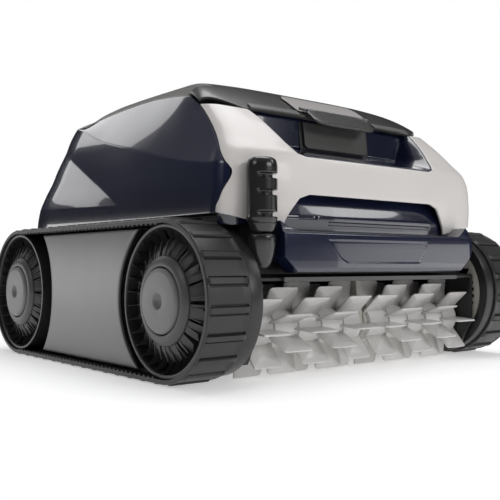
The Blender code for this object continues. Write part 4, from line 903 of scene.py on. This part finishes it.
# how far the panel lies behind the shell: it runs back from the opening's foot, then turns up
def deckDepth(x, v):
    back = np.interp(v, deck["shares"], deck["rear"])
    full = np.maximum(back - frontOf(v), 0)
    return 0.9 + full * ease((openingX(v) - 1 - np.abs(x)) / deck["blend"])


# the shell's front moved back by the deck's depth, between the edges of the opening
def upperPanel():
    v = np.concatenate([np.linspace(.3585, .47, 26), np.linspace(.475, .6965, 34)])[:, None]
    x = np.linspace(-1, 1, 151)[None] * (openingX(v) - 0.9)
    s = cornerFor(np.abs(x), v)
    y = frontOf(v) + cornerBack(s) + deckDepth(x, v)
    points = np.stack([x, y, heightOf(v) / mm + 0 * x], -1) * mm
    build("upperPanel", [(points, False, False)], "navy", "chassis", "upper_panel", thick=deck["wall"] * mm,
          outFrom=(0, 0.3, 0.1), sharp=50)


upperPanel()

# latch parts: name, look, half width, foot, front, depth, corner, replaced node
latch = {"top": 257, "lean": 3.0, "parts": (
    ("latchFrame", "black", 51.5, 227.2, -155.6, 0.6, 2, "latch_recess"),
    ("latchPlate", "recess", 47, 229.4, -158.2, 2.0, 5, None))}


# a dark frame against the panel's rear wall and, before it, a plate with rounded lower corners
def latchRecess():
    for name, look, half, low, front, deep, round0, node in latch["parts"]:
        u = np.linspace(0, 1, 24)[:, None]
        x = np.linspace(-1, 1, 41)[None] * (half - round0 * (1 - np.sqrt(1 - (1 - np.clip(u / .2, 0, 1)) ** 2)))
        z = low + (latch["top"] - low) * u + 0 * x
        y = front + latch["lean"] * u + 0 * x
        top = np.stack([x, y, z], -1) * mm
        under = top.copy()
        under[:, :, 1] += deep * mm
        build(name, closed(top, under), look, "chassis", node, bevel=0.4 * mm, sharp=35)


latchRecess()


# a point of the front shell moved out along its slope by out (mm)
def offShell(x, v, out):
    s = cornerFor(np.abs(x), v)
    y = frontOf(v) + cornerBack(s)
    z = heightOf(v) / mm
    rise = (frontOf(v + .004) - frontOf(v - .004)) / (.008 * (topZ - deckZ) / mm)
    size = np.sqrt(1 + rise ** 2)
    return np.stack([x + 0 * y, y - out / size, z + out * rise / size], -1) * mm


# a plate lying on the front shell: inner and outer sheets at set distances, with rounded corners
def crispBox(name, node, body, look, xHalf, v0, v1, inner, outer, rows, cols, round0, round1, bevel):
    v = np.linspace(v0, v1, rows)[:, None]
    t = np.linspace(-1, 1, cols)[None]
    edge = (v - v0) / (v1 - v0)
    cut0 = round0 * (1 - np.sqrt(1 - (1 - np.clip(edge / .3, 0, 1)) ** 2))
    cut1 = round1 * (1 - np.sqrt(1 - (1 - np.clip((1 - edge) / .3, 0, 1)) ** 2))
    x0, x1 = xHalf
    middle, reach = (x0 + x1) / 2, (x1 - x0) / 2
    x = middle + t * (reach - cut0 - cut1)
    top = offShell(x, v + 0 * t, outer)
    under = offShell(x, v + 0 * t, inner)
    build(name, closed(top, under), look, body, node, bevel=bevel, sharp=35)


# pale plate and lips on the lid: span of shares, inner and outer distance, rows and columns, corners, bevel
plateForm = (.742, .882, .7, 2.0, 18, 41, 3, 9, 0.5 * mm)
lipForm = (.7, .7335, .2, 2.2, 6, 40, 0.4, 0.4, 0.5 * mm)
crispBox("lidPlate", "lid_plate", "lid_body", "light", (-54.5, 54.5), *plateForm)
crispBox("lidLipLeft", "lid_lip_left", "lid_body", "lip", (-118.4, -56), *lipForm)
crispBox("lidLipRight", "lid_lip_right", "lid_body", "lip", (56, 118.4), *lipForm)

grip = {"half": 45, "z": 258.9, "halfHigh": 9.3, "out": 3.1, "halfThick": 2.4, "power": 0.5}


# a bar across the latch: one cross-section at every x, thinner and shorter towards the ends
def lidGrip():
    x = np.linspace(-grip["half"], grip["half"], 61)[:, None]
    end = np.sqrt(np.clip(1 - (np.abs(x) / 45.2) ** 6, 0.02, 1))
    a = np.linspace(0, 2 * pi, 32, endpoint=False)[None]
    across, up = powered(a, grip["power"])
    z = grip["z"] + grip["halfHigh"] * up * (0.35 + 0.65 * end)
    v = shareOf(z * mm)
    out = grip["out"] + grip["halfThick"] * across * (0.5 + 0.5 * end)
    points = offShell(x + 0 * z, v, out)
    cap0 = np.repeat(points[:1].mean(1, keepdims=True), 32, 1)
    cap1 = np.repeat(points[-1:].mean(1, keepdims=True), 32, 1)
    build("lidGrip", [(np.concatenate([cap0, points, cap1]), False, True)], "grip", "grip_body",
          "lid_grip", sharp=50)


lidGrip()
print("lid and latch built")

# rear cover
rearForm = {"panelEnd": 206.9, "stripEnd": 177.6, "stripShare": .5625, "wall": 3.0, "edge": 0.6}


# the rear of the shell: each row runs from the middle round to the side panel or the strip
def rearCover():
    v = np.concatenate([np.linspace(-.03, .56, 56), np.linspace(.565, .905, 36)])
    edgeY = np.linspace(178.2, rearForm["panelEnd"], 60)
    panelY = np.interp(v, sideTop(edgeY)[::-1], edgeY[::-1])
    byPanel = rearOf(v) - panelY
    q = (lidHalf / mm + 0.4) / (bodyHalf / mm - narrowTop(v))
    byStrip = np.interp(q, rearShare, rearBack)
    lower = v < rearForm["stripShare"]
    end = np.where(lower, byPanel, np.maximum(byStrip, rearOf(v) - rearForm["stripEnd"]))
    qEnd = rearWide(end)
    fine = np.linspace(0, 150, 601)
    t = np.linspace(-1, 1, 101)[None]
    # widths share the row evenly; the depth follows from the rear corner's curve
    share = qEnd[:, None] * t
    back = np.where(np.abs(share) > rearShare[0], np.interp(np.abs(share), rearWide(fine), fine), 0)
    y = rearOf(v)[:, None] - back
    x = share * (bodyHalf / mm - np.where(lower, narrowOf(panelY, v), narrowTop(v)))[:, None]
    points = np.stack([x, y, heightOf(v)[:, None] / mm + 0 * x], -1) * mm
    build("rearCover", [(points, False, False)], slotOf["rear_cover"], "chassis", "rear_cover",
          thick=rearForm["wall"] * mm, bevel=rearForm["edge"] * mm, outFrom=(0, 0, 0.1))


rearCover()

# cable boot and plug
boot = {"x": -154.6, "y": -219.5, "r": 14.0, "low": 135.6, "high": 203, "slots": (186, 171.2, 152),
        "slotHalf": 1.5, "slotDepth": 4.2, "facing": -62, "seam": 144.5}


# a turned post; slots are dips of the radius over part of the way round
def cableBoot():
    wide, low, high = boot["r"], boot["low"], boot["high"]
    profile = rounded([(0, low), (wide - 3.4, low), (wide - 1.6, low + 5), (wide, low + 12), (wide, high - 7),
                       (wide - 1.6, high - 2), (wide - 5, high), (0, high)], 2.5, 5)
    line = along(profile, np.linspace(0, 1, 150))
    a = np.linspace(0, 2 * pi, 72, endpoint=False)[None]
    r, z = line[:, :1], line[:, 1:]
    dip = 0
    facing = np.cos(a - radians(boot["facing"]))
    window = ease((facing - 0.1) / 0.25)
    for zc in boot["slots"]:
        dip = dip + ease(1 - (np.abs(z - zc) - boot["slotHalf"]) / 1.0)
    seam = ease(1 - np.abs(z - boot["seam"]) / 1.0) * 0.8
    radius = np.where(r > 3, r - boot["slotDepth"] * dip * window - seam, r)
    points = np.stack([boot["x"] + radius * np.cos(a), boot["y"] + radius * np.sin(a), z + 0 * a], -1) * mm
    build("cableBoot", [(points, False, True)], "gloss_black", "chassis", "cable_boot", sharp=45)


cableBoot()

plug = {"round": 4.0, "profile": ((0, 103.4), (4.6, 103.8), (8.0, 107.6), (10.8, 114.5), (12.3, 124),
                                  (12.8, 134.8), (0, 134.8))}


# a turned stub under the boot: radius over height from its profile
def cablePlug():
    line = rounded(plug["profile"], plug["round"], 6)
    a = np.linspace(0, 2 * pi, 48, endpoint=False)[None]
    r, z = line[:, :1], line[:, 1:]
    points = np.stack([boot["x"] + r * np.cos(a), boot["y"] + r * np.sin(a), z + 0 * a], -1) * mm
    build("cablePlug", [(points, False, True)], "gloss_black", "chassis", "cable_connector", sharp=45)


cablePlug()
print("rear cover and boot built")
